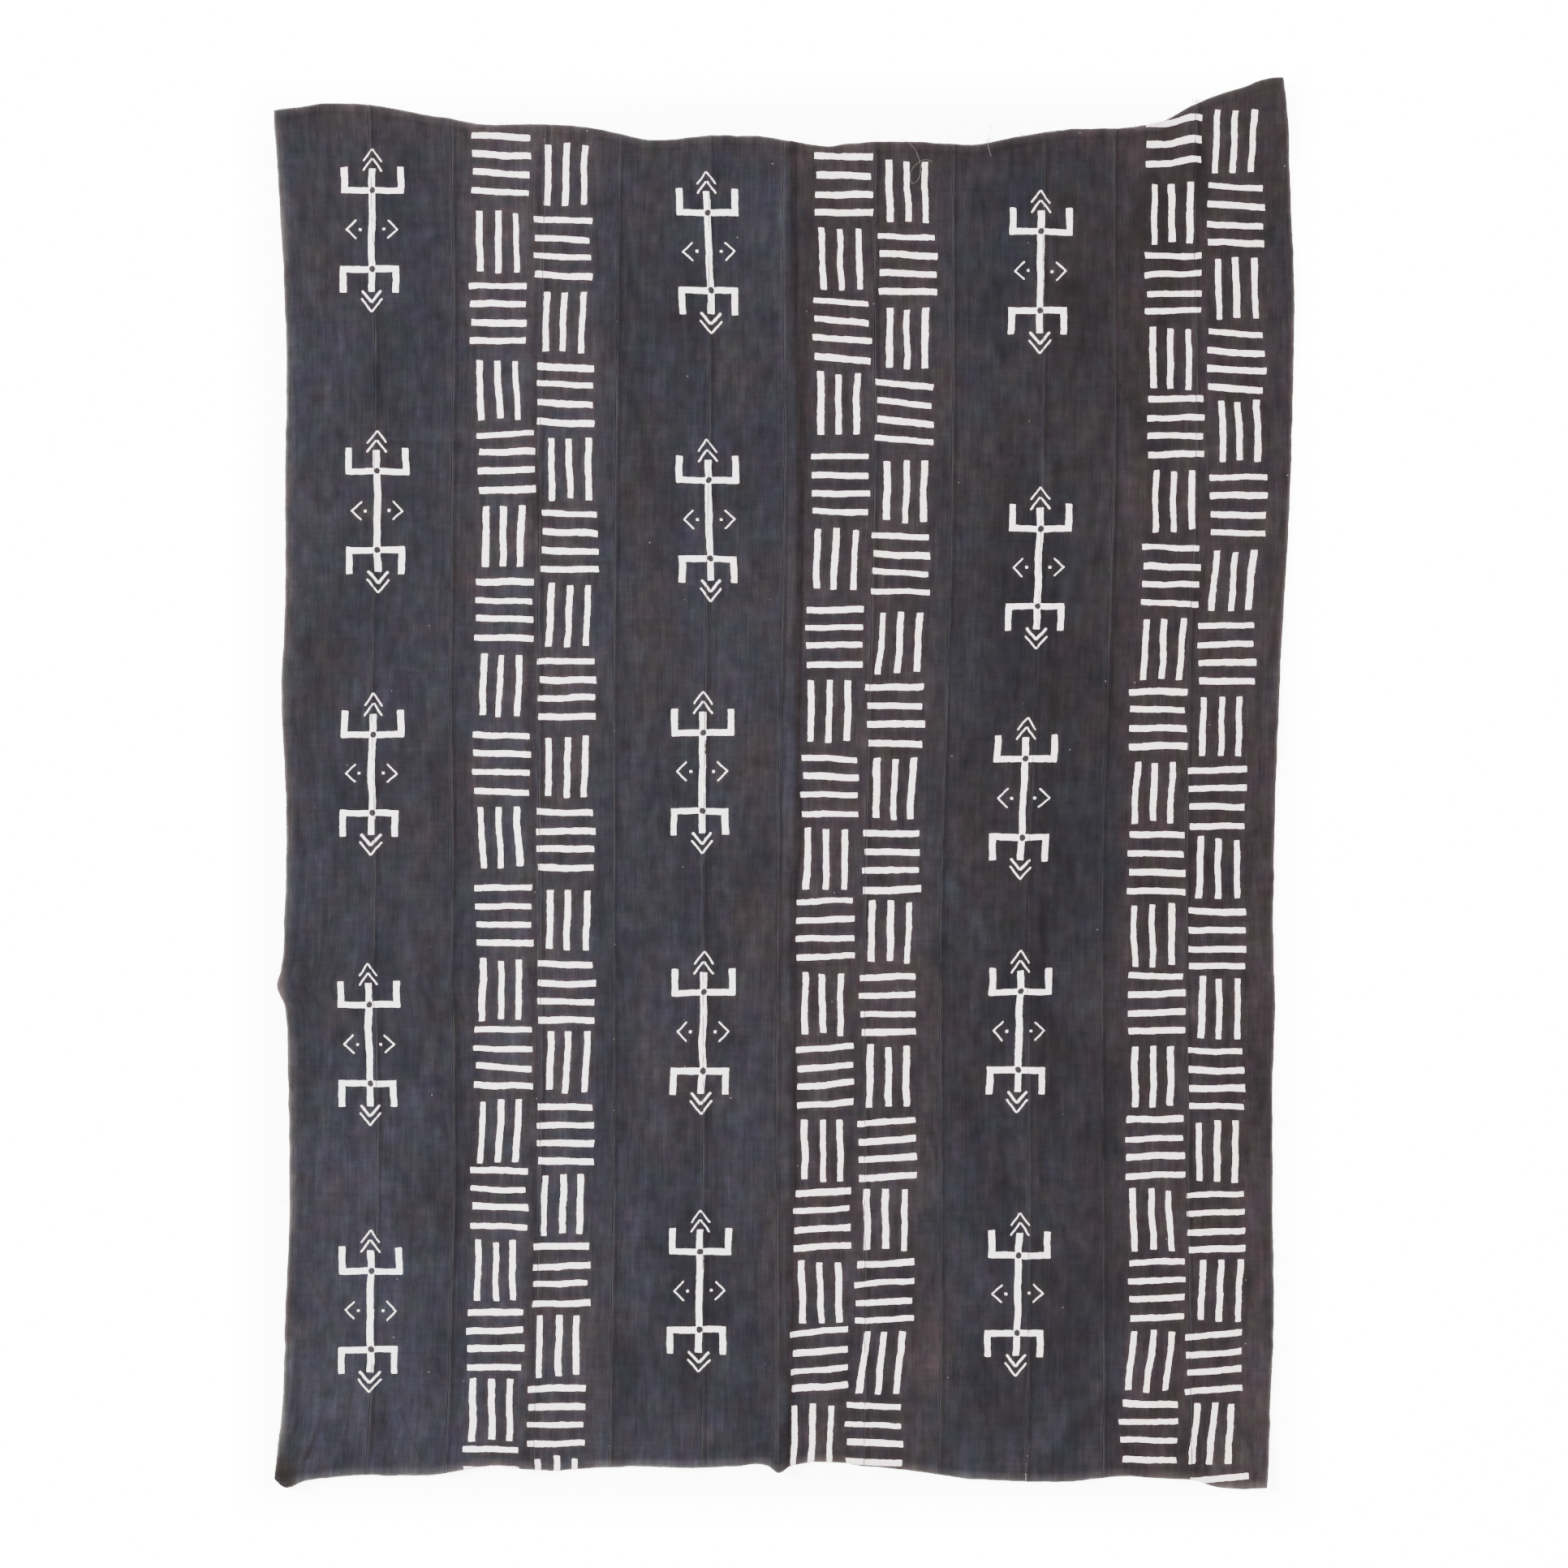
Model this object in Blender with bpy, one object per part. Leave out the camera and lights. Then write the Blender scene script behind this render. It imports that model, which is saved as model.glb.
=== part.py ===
# Mud cloth: twelve handwoven strips joined edge to edge and laid flat, with soft creases.
# Metres, +Z up. The cloth lies on its back face with its length along Y.

import math

import bmesh
import bpy
from mathutils import Vector

# Main sizes
CLOTH_THICKNESS = 0.0018
SEAM_GAP = 0.0004
STRIP_ROWS = 60
ROOT_NAME = "mud_cloth"
STRIP_COUNT = 12

# Woven cotton: colour, roughness and metallic
COTTON_COLOUR = (0.066, 0.061, 0.073, 1.0)
COTTON_ROUGHNESS = 0.9
COTTON_METALLIC = 0.0

# Smallest step used to find the slope of the lying surface
SLOPE_STEP = 0.0002

# Side edges of the cloth
# height along the cloth, left edge, right edge
SIDE_EDGES = (
    (0.788, -0.5680, 0.5565),
    (0.740, -0.5675, 0.5610),
    (0.650, -0.5625, 0.5640),
    (0.557, -0.5560, 0.5670),
    (0.466, -0.5545, 0.5665),
    (0.330, -0.5555, 0.5620),
    (0.195, -0.5565, 0.5560),
    (0.105, -0.5585, 0.5520),
    (-0.030, -0.5550, 0.5460),
    (-0.167, -0.5560, 0.5435),
    (-0.208, -0.5600, 0.5445),
    (-0.226, -0.5640, 0.5450),
    (-0.250, -0.5555, 0.5455),
    (-0.347, -0.5515, 0.5420),
    (-0.483, -0.5515, 0.5440),
    (-0.595, -0.5560, 0.5460),
    (-0.680, -0.5580, 0.5420),
    (-0.735, -0.5620, 0.5405),
    (-0.786, -0.5690, 0.5385),
)

# Joins between the strips that set the others
# height along the cloth, join 3, join 6, join 9, join 11
JOIN_COURSES = (
    (0.788, -0.2660, 0.0010, 0.2900, 0.4590),
    (0.630, -0.2680, -0.0010, 0.2886, 0.4568),
    (0.376, -0.2723, 0.0005, 0.2877, 0.4590),
    (0.123, -0.2740, -0.0040, 0.2813, 0.4510),
    (-0.130, -0.2725, -0.0080, 0.2715, 0.4475),
    (-0.384, -0.2718, -0.0088, 0.2722, 0.4488),
    (-0.637, -0.2765, -0.0075, 0.2715, 0.4520),
    (-0.786, -0.2800, -0.0085, 0.2690, 0.4545),
)

# Widths of the strips as woven, left to right
STRIP_WIDTHS = (
    0.0985, 0.0865, 0.0975, 0.0835, 0.1020, 0.0835,
    0.0985, 0.0845, 0.0985, 0.0805, 0.0930, 0.0950,
)

# Strips between one set join and the next
STRIP_GROUPS = (
    (0, 3),
    (3, 6),
    (6, 9),
    (9, 11),
    (11, 12),
)

# Hems across the cloth
# place across the cloth, top hem, bottom hem
HEM_COURSES = (
    (-0.5690, 0.7500, -0.7710),
    (-0.5550, 0.7520, -0.7850),
    (-0.5350, 0.7545, -0.7760),
    (-0.5100, 0.7590, -0.7730),
    (-0.4700, 0.7575, -0.7700),
    (-0.4300, 0.7520, -0.7710),
    (-0.3850, 0.7430, -0.7680),
    (-0.3250, 0.7340, -0.7600),
    (-0.2600, 0.7350, -0.7655),
    (-0.2100, 0.7305, -0.7620),
    (-0.1450, 0.7180, -0.7600),
    (-0.0850, 0.7235, -0.7610),
    (-0.0300, 0.7225, -0.7580),
    (-0.0180, 0.7205, -0.7590),
    (-0.0055, 0.7190, -0.7665),
    (0.0080, 0.7165, -0.7590),
    (0.0400, 0.7115, -0.7560),
    (0.1000, 0.7155, -0.7610),
    (0.1550, 0.7150, -0.7655),
    (0.2100, 0.7130, -0.7730),
    (0.2650, 0.7225, -0.7770),
    (0.3200, 0.7295, -0.7755),
    (0.3750, 0.7300, -0.7700),
    (0.4250, 0.7390, -0.7730),
    (0.4560, 0.7570, -0.7760),
    (0.4830, 0.7670, -0.7825),
    (0.5100, 0.7750, -0.7850),
    (0.5370, 0.7835, -0.7835),
    (0.5640, 0.7860, -0.7790),
)

# Long creases that follow a join, steeper on their right side
# join, column of its offset, bottom end, top end, height, left reach, right reach, unevenness
JOIN_CREASES = (
    (6, 1, -0.7900, 0.7400, 0.0062, 0.0150, 0.0105, 0.25),
    (3, 2, -0.7700, 0.7200, 0.0036, 0.0150, 0.0120, 0.35),
    (9, 3, -0.4900, 0.3700, 0.0032, 0.0170, 0.0125, 0.40),
)

# Distance of each long crease to the right of its join
# height along the cloth, crease at join 6, at join 3, at join 9
CREASE_OFFSETS = (
    (0.740, 0.0020, -0.0130, 0.0100),
    (0.510, 0.0050, -0.0140, 0.0100),
    (0.240, 0.0100, -0.0140, 0.0110),
    (0.000, 0.0105, -0.0150, 0.0110),
    (-0.300, 0.0110, -0.0140, 0.0080),
    (-0.480, 0.0075, -0.0125, 0.0080),
    (-0.660, 0.0030, -0.0110, 0.0080),
    (-0.766, 0.0005, -0.0110, 0.0080),
)

# Short slanting creases
# start across, start along, end across, end along, height, half width
SLANT_CREASES = (
    (-0.4170, -0.3970, -0.3760, -0.4920, 0.0026, 0.0240),
    (-0.0430, -0.1620, -0.0160, -0.2045, 0.0020, 0.0200),
    (0.3030, -0.1050, 0.3220, -0.1380, 0.0024, 0.0220),
    (0.2880, -0.7450, 0.3480, -0.6870, 0.0036, 0.0280),
    (-0.1460, -0.6100, -0.1090, -0.7510, 0.0030, 0.0260),
    (-0.4600, -0.6900, -0.4590, -0.7600, 0.0030, 0.0220),
    (-0.5200, -0.7000, -0.4900, -0.7600, 0.0024, 0.0220),
)

# Parts of the rim that stand clear of the floor
# centre across, centre along, reach across, reach along, height
RIM_LIFTS = (
    (0.5600, 0.7900, 0.1500, 0.1300, 0.0120),
    (-0.5690, -0.7850, 0.0700, 0.1100, 0.0085),
    (-0.5650, -0.2260, 0.0450, 0.0600, 0.0060),
    (-0.0050, -0.7700, 0.0420, 0.0500, 0.0060),
    (-0.5690, 0.7550, 0.0800, 0.0800, 0.0050),
    (0.5400, -0.7900, 0.0800, 0.0700, 0.0045),
    (0.1300, 0.7150, 0.0900, 0.0500, 0.0040),
    (-0.3300, 0.7350, 0.0900, 0.0450, 0.0035),
    (-0.3200, -0.7600, 0.1000, 0.0450, 0.0035),
)

# Length of one swell in the height of a long crease
CREASE_SWELL = 0.31

# Places of the grid lines across a strip, from its left side to its right
PLAIN_STOPS = (0.0, 0.34, 0.67, 1.0)
RIGHT_CREASE_STOPS = (0.0, 0.34, 0.66, 0.76, 0.85, 0.93, 1.0)
LEFT_CREASE_STOPS = (0.0, 0.06, 0.13, 0.20, 0.30, 0.66, 1.0)
CENTRE_LEFT_STOPS = (0.0, 0.35, 0.70, 0.85, 0.93, 1.0)
CENTRE_RIGHT_STOPS = (0.0, 0.05, 0.10, 0.15, 0.21, 0.45, 0.72, 1.0)
RIM_LEFT_STOPS = (0.0, 0.12, 0.35, 0.67, 1.0)
RIM_RIGHT_STOPS = (0.0, 0.28, 0.56, 0.80, 1.0)

# Strip number, its grid lines
STRIP_STOPS = {
    1: RIM_LEFT_STOPS,
    3: RIGHT_CREASE_STOPS,
    6: CENTRE_LEFT_STOPS,
    7: CENTRE_RIGHT_STOPS,
    10: LEFT_CREASE_STOPS,
    12: RIM_RIGHT_STOPS,
}


def clear_objects():
    """Remove whatever the file opened with."""
    for item in list(bpy.data.objects):
        bpy.data.objects.remove(item, do_unlink=True)


def smooth_read(table, key, column):
    """Read one column of a table at a place, with a smooth curve through its rows."""
    rows = sorted(table, key=lambda row: row[0])
    if key <= rows[0][0]:
        return rows[0][column]
    if key >= rows[-1][0]:
        return rows[-1][column]
    at = 1
    while rows[at][0] < key:
        at += 1
    low = rows[at - 1]
    high = rows[at]
    span = high[0] - low[0]
    share = (key - low[0]) / span
    before = rows[max(at - 2, 0)]
    after = rows[min(at + 1, len(rows) - 1)]
    low_slope = (high[column] - before[column]) / (high[0] - before[0])
    high_slope = (after[column] - low[column]) / (after[0] - low[0])
    squared = share * share
    cubed = squared * share
    value = (2 * cubed - 3 * squared + 1) * low[column]
    value += (cubed - 2 * squared + share) * span * low_slope
    value += (3 * squared - 2 * cubed) * high[column]
    value += (cubed - squared) * span * high_slope
    return value


def join_across(number, along):
    """Place across the cloth of join 0 (left edge) to join 12 (right edge)."""
    marks = (
        smooth_read(SIDE_EDGES, along, 1),
        smooth_read(JOIN_COURSES, along, 1),
        smooth_read(JOIN_COURSES, along, 2),
        smooth_read(JOIN_COURSES, along, 3),
        smooth_read(JOIN_COURSES, along, 4),
        smooth_read(SIDE_EDGES, along, 2),
    )
    for group, (first, last) in enumerate(STRIP_GROUPS):
        if number <= last:
            total = sum(STRIP_WIDTHS[first:last])
            done = sum(STRIP_WIDTHS[first:number])
            left = marks[group]
            right = marks[group + 1]
            return left + (right - left) * done / total
    return marks[-1]


def bell(distance, reach):
    """A soft rise of 1 at distance 0 that ends at the reach."""
    if abs(distance) >= reach:
        return 0.0
    return 0.5 + 0.5 * math.cos(math.pi * distance / reach)


def join_crease_height(across, along):
    """Height of the long creases that follow a join."""
    height = 0.0
    for join, column, bottom, top, rise, left_reach, right_reach, uneven in JOIN_CREASES:
        if along <= bottom or along >= top:
            continue
        away = across - join_across(join, along) - smooth_read(CREASE_OFFSETS, along, column)
        reach = left_reach if away < 0 else right_reach
        swell = math.sin(2 * math.pi * along / CREASE_SWELL + join)
        fade = min((along - bottom) / left_reach, (top - along) / left_reach, 1.0)
        fade = fade * fade * (3 - 2 * fade)
        height += rise * (1 - uneven * (0.5 + 0.5 * swell)) * fade * bell(away, reach)
    return height


def slant_crease_height(across, along):
    """Height of the short slanting creases."""
    height = 0.0
    place = Vector((across, along))
    for start_x, start_y, end_x, end_y, rise, reach in SLANT_CREASES:
        start = Vector((start_x, start_y))
        run = Vector((end_x, end_y)) - start
        share = (place - start).dot(run) / run.length_squared
        share = min(max(share, 0.0), 1.0)
        nearest = start + run * share
        height += rise * bell((place - nearest).length, reach)
    return height


def rim_lift_height(across, along):
    """Height of the parts of the rim that stand clear."""
    height = 0.0
    for centre_x, centre_y, reach_x, reach_y, rise in RIM_LIFTS:
        away = math.hypot((across - centre_x) / reach_x, (along - centre_y) / reach_y)
        height += rise * bell(away, 1.0)
    return height


def lying_height(across, along):
    """Height of the back face above the floor."""
    height = join_crease_height(across, along)
    height += slant_crease_height(across, along)
    height += rim_lift_height(across, along)
    return height


def lying_point(across, along, level):
    """Point of the cloth at a level between its back face (0) and its front (1)."""
    height = lying_height(across, along)
    slope_x = (lying_height(across + SLOPE_STEP, along) - height) / SLOPE_STEP
    slope_y = (lying_height(across, along + SLOPE_STEP) - height) / SLOPE_STEP
    outward = Vector((-slope_x, -slope_y, 1.0)).normalized()
    middle = Vector((across, along, height + 0.5 * CLOTH_THICKNESS))
    return middle + outward * CLOTH_THICKNESS * (level - 0.5)


def stop_place(stops, share):
    """Turn an even share of the grid into a place between the listed grid lines."""
    scaled = share * (len(stops) - 1)
    index = min(int(scaled + 0.001), len(stops) - 2)
    return stops[index] + (stops[index + 1] - stops[index]) * (scaled - index)


def strip_place(number, stops, share_across, share_along):
    """Place on the floor plan of a grid share of one strip."""
    bottom_guess = smooth_read(HEM_COURSES, 0.0, 2)
    top_guess = smooth_read(HEM_COURSES, 0.0, 1)
    along = bottom_guess + (top_guess - bottom_guess) * share_along
    place = stop_place(stops, share_across)
    across = 0.0
    for _ in range(3):
        left = join_across(number - 1, along)
        right = join_across(number, along)
        if number > 1:
            left += 0.5 * SEAM_GAP
        if number < STRIP_COUNT:
            right -= 0.5 * SEAM_GAP
        across = left + (right - left) * place
        bottom = smooth_read(HEM_COURSES, across, 2)
        top = smooth_read(HEM_COURSES, across, 1)
        along = bottom + (top - bottom) * share_along
    return across, along


def cotton_material(number):
    """Dyed cotton of one strip."""
    material = bpy.data.materials.new("dyed_cotton_%02d" % number)
    material.use_nodes = True
    shader = material.node_tree.nodes["Principled BSDF"]
    shader.inputs["Base Color"].default_value = COTTON_COLOUR
    shader.inputs["Roughness"].default_value = COTTON_ROUGHNESS
    shader.inputs["Metallic"].default_value = COTTON_METALLIC
    return material


def build_strip(number, collection):
    """One woven strip as a closed sheet on the lying surface."""
    stops = STRIP_STOPS.get(number, PLAIN_STOPS)
    mesh = bpy.data.meshes.new("strip_%02d" % number)
    shape = bmesh.new()
    bmesh.ops.create_grid(shape, x_segments=len(stops) - 1, y_segments=STRIP_ROWS, size=0.5)
    lifted = bmesh.ops.extrude_face_region(shape, geom=list(shape.faces))
    raised = [item for item in lifted["geom"] if isinstance(item, bmesh.types.BMVert)]
    bmesh.ops.translate(shape, verts=raised, vec=(0.0, 0.0, 1.0))
    for vertex in shape.verts:
        across, along = strip_place(number, stops, vertex.co.x + 0.5, vertex.co.y + 0.5)
        vertex.co = lying_point(across, along, vertex.co.z)
    bmesh.ops.recalc_face_normals(shape, faces=list(shape.faces))
    shape.to_mesh(mesh)
    shape.free()
    strip = bpy.data.objects.new("strip_%02d" % number, mesh)
    mesh.materials.append(cotton_material(number))
    collection.objects.link(strip)
    return strip


def build_cloth():
    """All the strips, under one named collection."""
    collection = bpy.data.collections.new(ROOT_NAME)
    bpy.context.scene.collection.children.link(collection)
    return [build_strip(number, collection) for number in range(1, STRIP_COUNT + 1)]


clear_objects()
build_cloth()
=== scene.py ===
"""Looks of the mud cloth: twelve woven strips with painted marks, joined and laid flat.

Metres, +Z up. The strips run along Y, and the cloth lies on its back face.
"""

import logging
import math
from dataclasses import dataclass
from enum import Enum, IntEnum
from functools import reduce
from typing import Callable, Sequence

import bmesh
import bpy
import numpy as np
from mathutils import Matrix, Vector


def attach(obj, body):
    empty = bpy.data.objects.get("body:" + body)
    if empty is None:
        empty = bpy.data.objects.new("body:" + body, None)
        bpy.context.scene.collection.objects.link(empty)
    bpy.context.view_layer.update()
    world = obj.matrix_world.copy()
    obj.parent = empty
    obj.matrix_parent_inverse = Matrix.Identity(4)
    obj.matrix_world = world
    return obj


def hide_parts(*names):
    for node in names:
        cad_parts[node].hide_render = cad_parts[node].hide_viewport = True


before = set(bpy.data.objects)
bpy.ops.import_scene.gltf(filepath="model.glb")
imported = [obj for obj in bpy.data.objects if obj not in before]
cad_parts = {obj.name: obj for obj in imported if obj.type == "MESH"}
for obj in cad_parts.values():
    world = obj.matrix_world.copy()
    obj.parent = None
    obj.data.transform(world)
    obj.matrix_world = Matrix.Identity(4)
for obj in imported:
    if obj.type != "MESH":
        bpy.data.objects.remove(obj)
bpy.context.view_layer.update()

LOG = logging.getLogger("mud_cloth")
Row = Sequence[float]
Rows = Sequence[Row]
Values = np.ndarray
Socket = bpy.types.NodeSocket
Tree = bpy.types.NodeTree
ROOT = "root"
STRIP_COUNT = 12

# Side edges: height along the cloth, left edge, right edge
SIDE_EDGES: Rows = (
    (0.788, -0.568, 0.5545), (0.74, -0.5675, 0.561), (0.65, -0.5625, 0.5648),
    (0.557, -0.5575, 0.5688), (0.466, -0.5545, 0.5682), (0.33, -0.556, 0.5645),
    (0.195, -0.5565, 0.5572), (0.105, -0.5605, 0.5523), (-0.03, -0.555, 0.5478),
    (-0.167, -0.5572, 0.5455), (-0.208, -0.5602, 0.5465), (-0.226, -0.564, 0.547),
    (-0.25, -0.5555, 0.5475), (-0.347, -0.5525, 0.5448), (-0.483, -0.5515, 0.545),
    (-0.595, -0.556, 0.546), (-0.68, -0.5585, 0.543), (-0.735, -0.563, 0.5412),
    (-0.786, -0.569, 0.5385),
)

# Joins that set the others: height along the cloth, join 3, join 6, join 9, join 11
JOIN_COURSES: Rows = (
    (0.788, -0.266, 0.001, 0.29, 0.459), (0.63, -0.268, -0.001, 0.2886, 0.4568),
    (0.376, -0.2723, 0.0005, 0.2877, 0.459), (0.123, -0.274, -0.004, 0.2813, 0.451),
    (-0.13, -0.2725, -0.008, 0.2715, 0.4475), (-0.384, -0.2718, -0.0088, 0.2722, 0.4488),
    (-0.637, -0.2765, -0.0075, 0.2715, 0.452), (-0.786, -0.28, -0.0085, 0.269, 0.4545),
)

# Widths of the strips as woven, left to right, and the strips between the set joins
STRIP_WIDTHS = (
    0.0985, 0.0865, 0.0975, 0.0835, 0.102, 0.0835,
    0.0985, 0.0845, 0.0985, 0.0805, 0.093, 0.095,
)
STRIP_GROUPS = ((0, 3), (3, 6), (6, 9), (9, 11), (11, 12))
# The lines that those groups lie between: table and column
SET_LINES = (
    (SIDE_EDGES, 1), (JOIN_COURSES, 1), (JOIN_COURSES, 2),
    (JOIN_COURSES, 3), (JOIN_COURSES, 4), (SIDE_EDGES, 2),
)
WOVEN_LENGTH = 1.52

# Hems: place across the cloth, top hem, bottom hem
HEM_COURSES: Rows = (
    (-0.569, 0.75, -0.771), (-0.555, 0.752, -0.7825), (-0.535, 0.7545, -0.776),
    (-0.51, 0.759, -0.773), (-0.47, 0.7575, -0.77), (-0.43, 0.752, -0.771),
    (-0.385, 0.743, -0.7695), (-0.325, 0.734, -0.76), (-0.26, 0.735, -0.7655),
    (-0.21, 0.7305, -0.762), (-0.145, 0.718, -0.7612), (-0.085, 0.7225, -0.7622),
    (-0.03, 0.7225, -0.758), (-0.018, 0.7205, -0.759), (-0.0055, 0.719, -0.7665),
    (0.008, 0.7165, -0.759), (0.04, 0.7115, -0.756), (0.1, 0.7155, -0.761),
    (0.155, 0.7155, -0.7675), (0.21, 0.713, -0.7752), (0.265, 0.7225, -0.777),
    (0.32, 0.7295, -0.7778), (0.375, 0.731, -0.7712), (0.425, 0.7405, -0.7742),
    (0.456, 0.757, -0.776), (0.483, 0.767, -0.7838), (0.51, 0.775, -0.785),
    (0.537, 0.7835, -0.7835), (0.564, 0.786, -0.779),
)

# Long creases beside a join: join, column of its offset, bottom end, top end, height,
# left reach, right reach, unevenness, depth of the painted shade line on its right, which also
# scales the painted highlight on its top
JOIN_CREASES: Rows = (
    (6, 1, -0.79, 0.74, 0.004, 0.016, 0.0062, 0.2, 0.42),
    (3, 2, -0.77, 0.72, 0.0028, 0.015, 0.012, 0.35, 0.28),
    (9, 3, -0.49, 0.37, 0.0027, 0.017, 0.0125, 0.4, 0.16),
)
# Crease offsets: height along the cloth, crease at join 6, at join 3, at join 9
CREASE_OFFSETS: Rows = (
    (0.74, 0.0085, -0.013, 0.01), (0.64, 0.0085, -0.0135, 0.01),
    (0.51, 0.0092, -0.014, 0.01), (0.376, 0.0134, -0.014, 0.0105),
    (0.24, 0.0158, -0.014, 0.011), (0.06, 0.0158, -0.0147, 0.011),
    (-0.053, 0.019, -0.0148, 0.0105), (-0.126, 0.0164, -0.0146, 0.0098),
    (-0.3, 0.0158, -0.014, 0.008), (-0.424, 0.0162, -0.013, 0.008),
    (-0.506, 0.013, -0.0123, 0.008), (-0.592, 0.0126, -0.0115, 0.008),
    (-0.678, 0.0102, -0.011, 0.008), (-0.732, 0.0086, -0.011, 0.008),
    (-0.766, 0.0076, -0.011, 0.008),
)
CREASE_SWELL = 0.31

# Slanting creases: start across, start along, end across, end along, height, half width
SLANT_CREASES: Rows = (
    (-0.417, -0.397, -0.376, -0.492, 0.0026, 0.024),
    (-0.043, -0.162, -0.016, -0.2045, 0.002, 0.02),
    (0.303, -0.105, 0.322, -0.138, 0.0024, 0.022),
    (0.288, -0.745, 0.348, -0.687, 0.0036, 0.028),
    (-0.146, -0.61, -0.109, -0.751, 0.003, 0.026),
    (-0.46, -0.69, -0.459, -0.76, 0.003, 0.022),
    (-0.49, -0.695, -0.53, -0.755, 0.002, 0.02),
)

# Lifted rims: centre across, centre along, reach across, reach along, height
RIM_LIFTS: Rows = (
    (0.56, 0.79, 0.15, 0.13, 0.012),
    (-0.569, -0.785, 0.07, 0.11, 0.0085),
    (-0.565, -0.226, 0.045, 0.06, 0.006),
    (-0.005, -0.77, 0.042, 0.05, 0.006),
    (-0.569, 0.755, 0.08, 0.08, 0.005),
    (0.54, -0.79, 0.08, 0.07, 0.0045),
    (0.13, 0.715, 0.09, 0.05, 0.004),
    (-0.33, 0.735, 0.09, 0.045, 0.0035),
    (-0.32, -0.76, 0.1, 0.045, 0.0035),
)

# Fine creases pressed in by folding: start across, start along, end across, end along,
# height, half width
FINE_CREASES: Rows = (
    (-0.455, 0.383, -0.367, 0.38, 0.0007, 0.005),
    (-0.449, 0.127, -0.376, 0.125, 0.0006, 0.005),
    (-0.422, 0.625, -0.385, 0.626, 0.0006, 0.0045),
    (-0.5, 0.26, -0.47, 0.235, 0.0006, 0.006),
    (0.215, 0.1, 0.25, 0.075, 0.0006, 0.006),
    (-0.175, 0.03, -0.15, -0.015, 0.0007, 0.006),
    (0.362, 0.47, 0.39, 0.42, 0.0006, 0.006),
    (-0.53, -0.54, -0.5, -0.6, 0.0009, 0.008),
    (-0.4261, -0.6957, -0.4034, -0.7499, 0.001, 0.0085),
    (-0.4487, -0.7002, -0.4315, -0.7544, 0.0009, 0.008),
    (-0.4695, -0.7228, -0.4749, -0.7635, 0.0008, 0.0075),
    (-0.4831, -0.711, -0.4966, -0.7544, 0.0009, 0.008),
    (-0.512, -0.7002, -0.5292, -0.7499, 0.0009, 0.0085),
    (-0.5364, -0.7047, -0.5518, -0.7345, 0.0008, 0.008),
    (0.2, -0.65, 0.225, -0.7, 0.0008, 0.007),
    (0.5, -0.7, 0.525, -0.745, 0.0009, 0.008),
    (-0.14, 0.69, -0.105, 0.66, 0.0008, 0.007),
)

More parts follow.
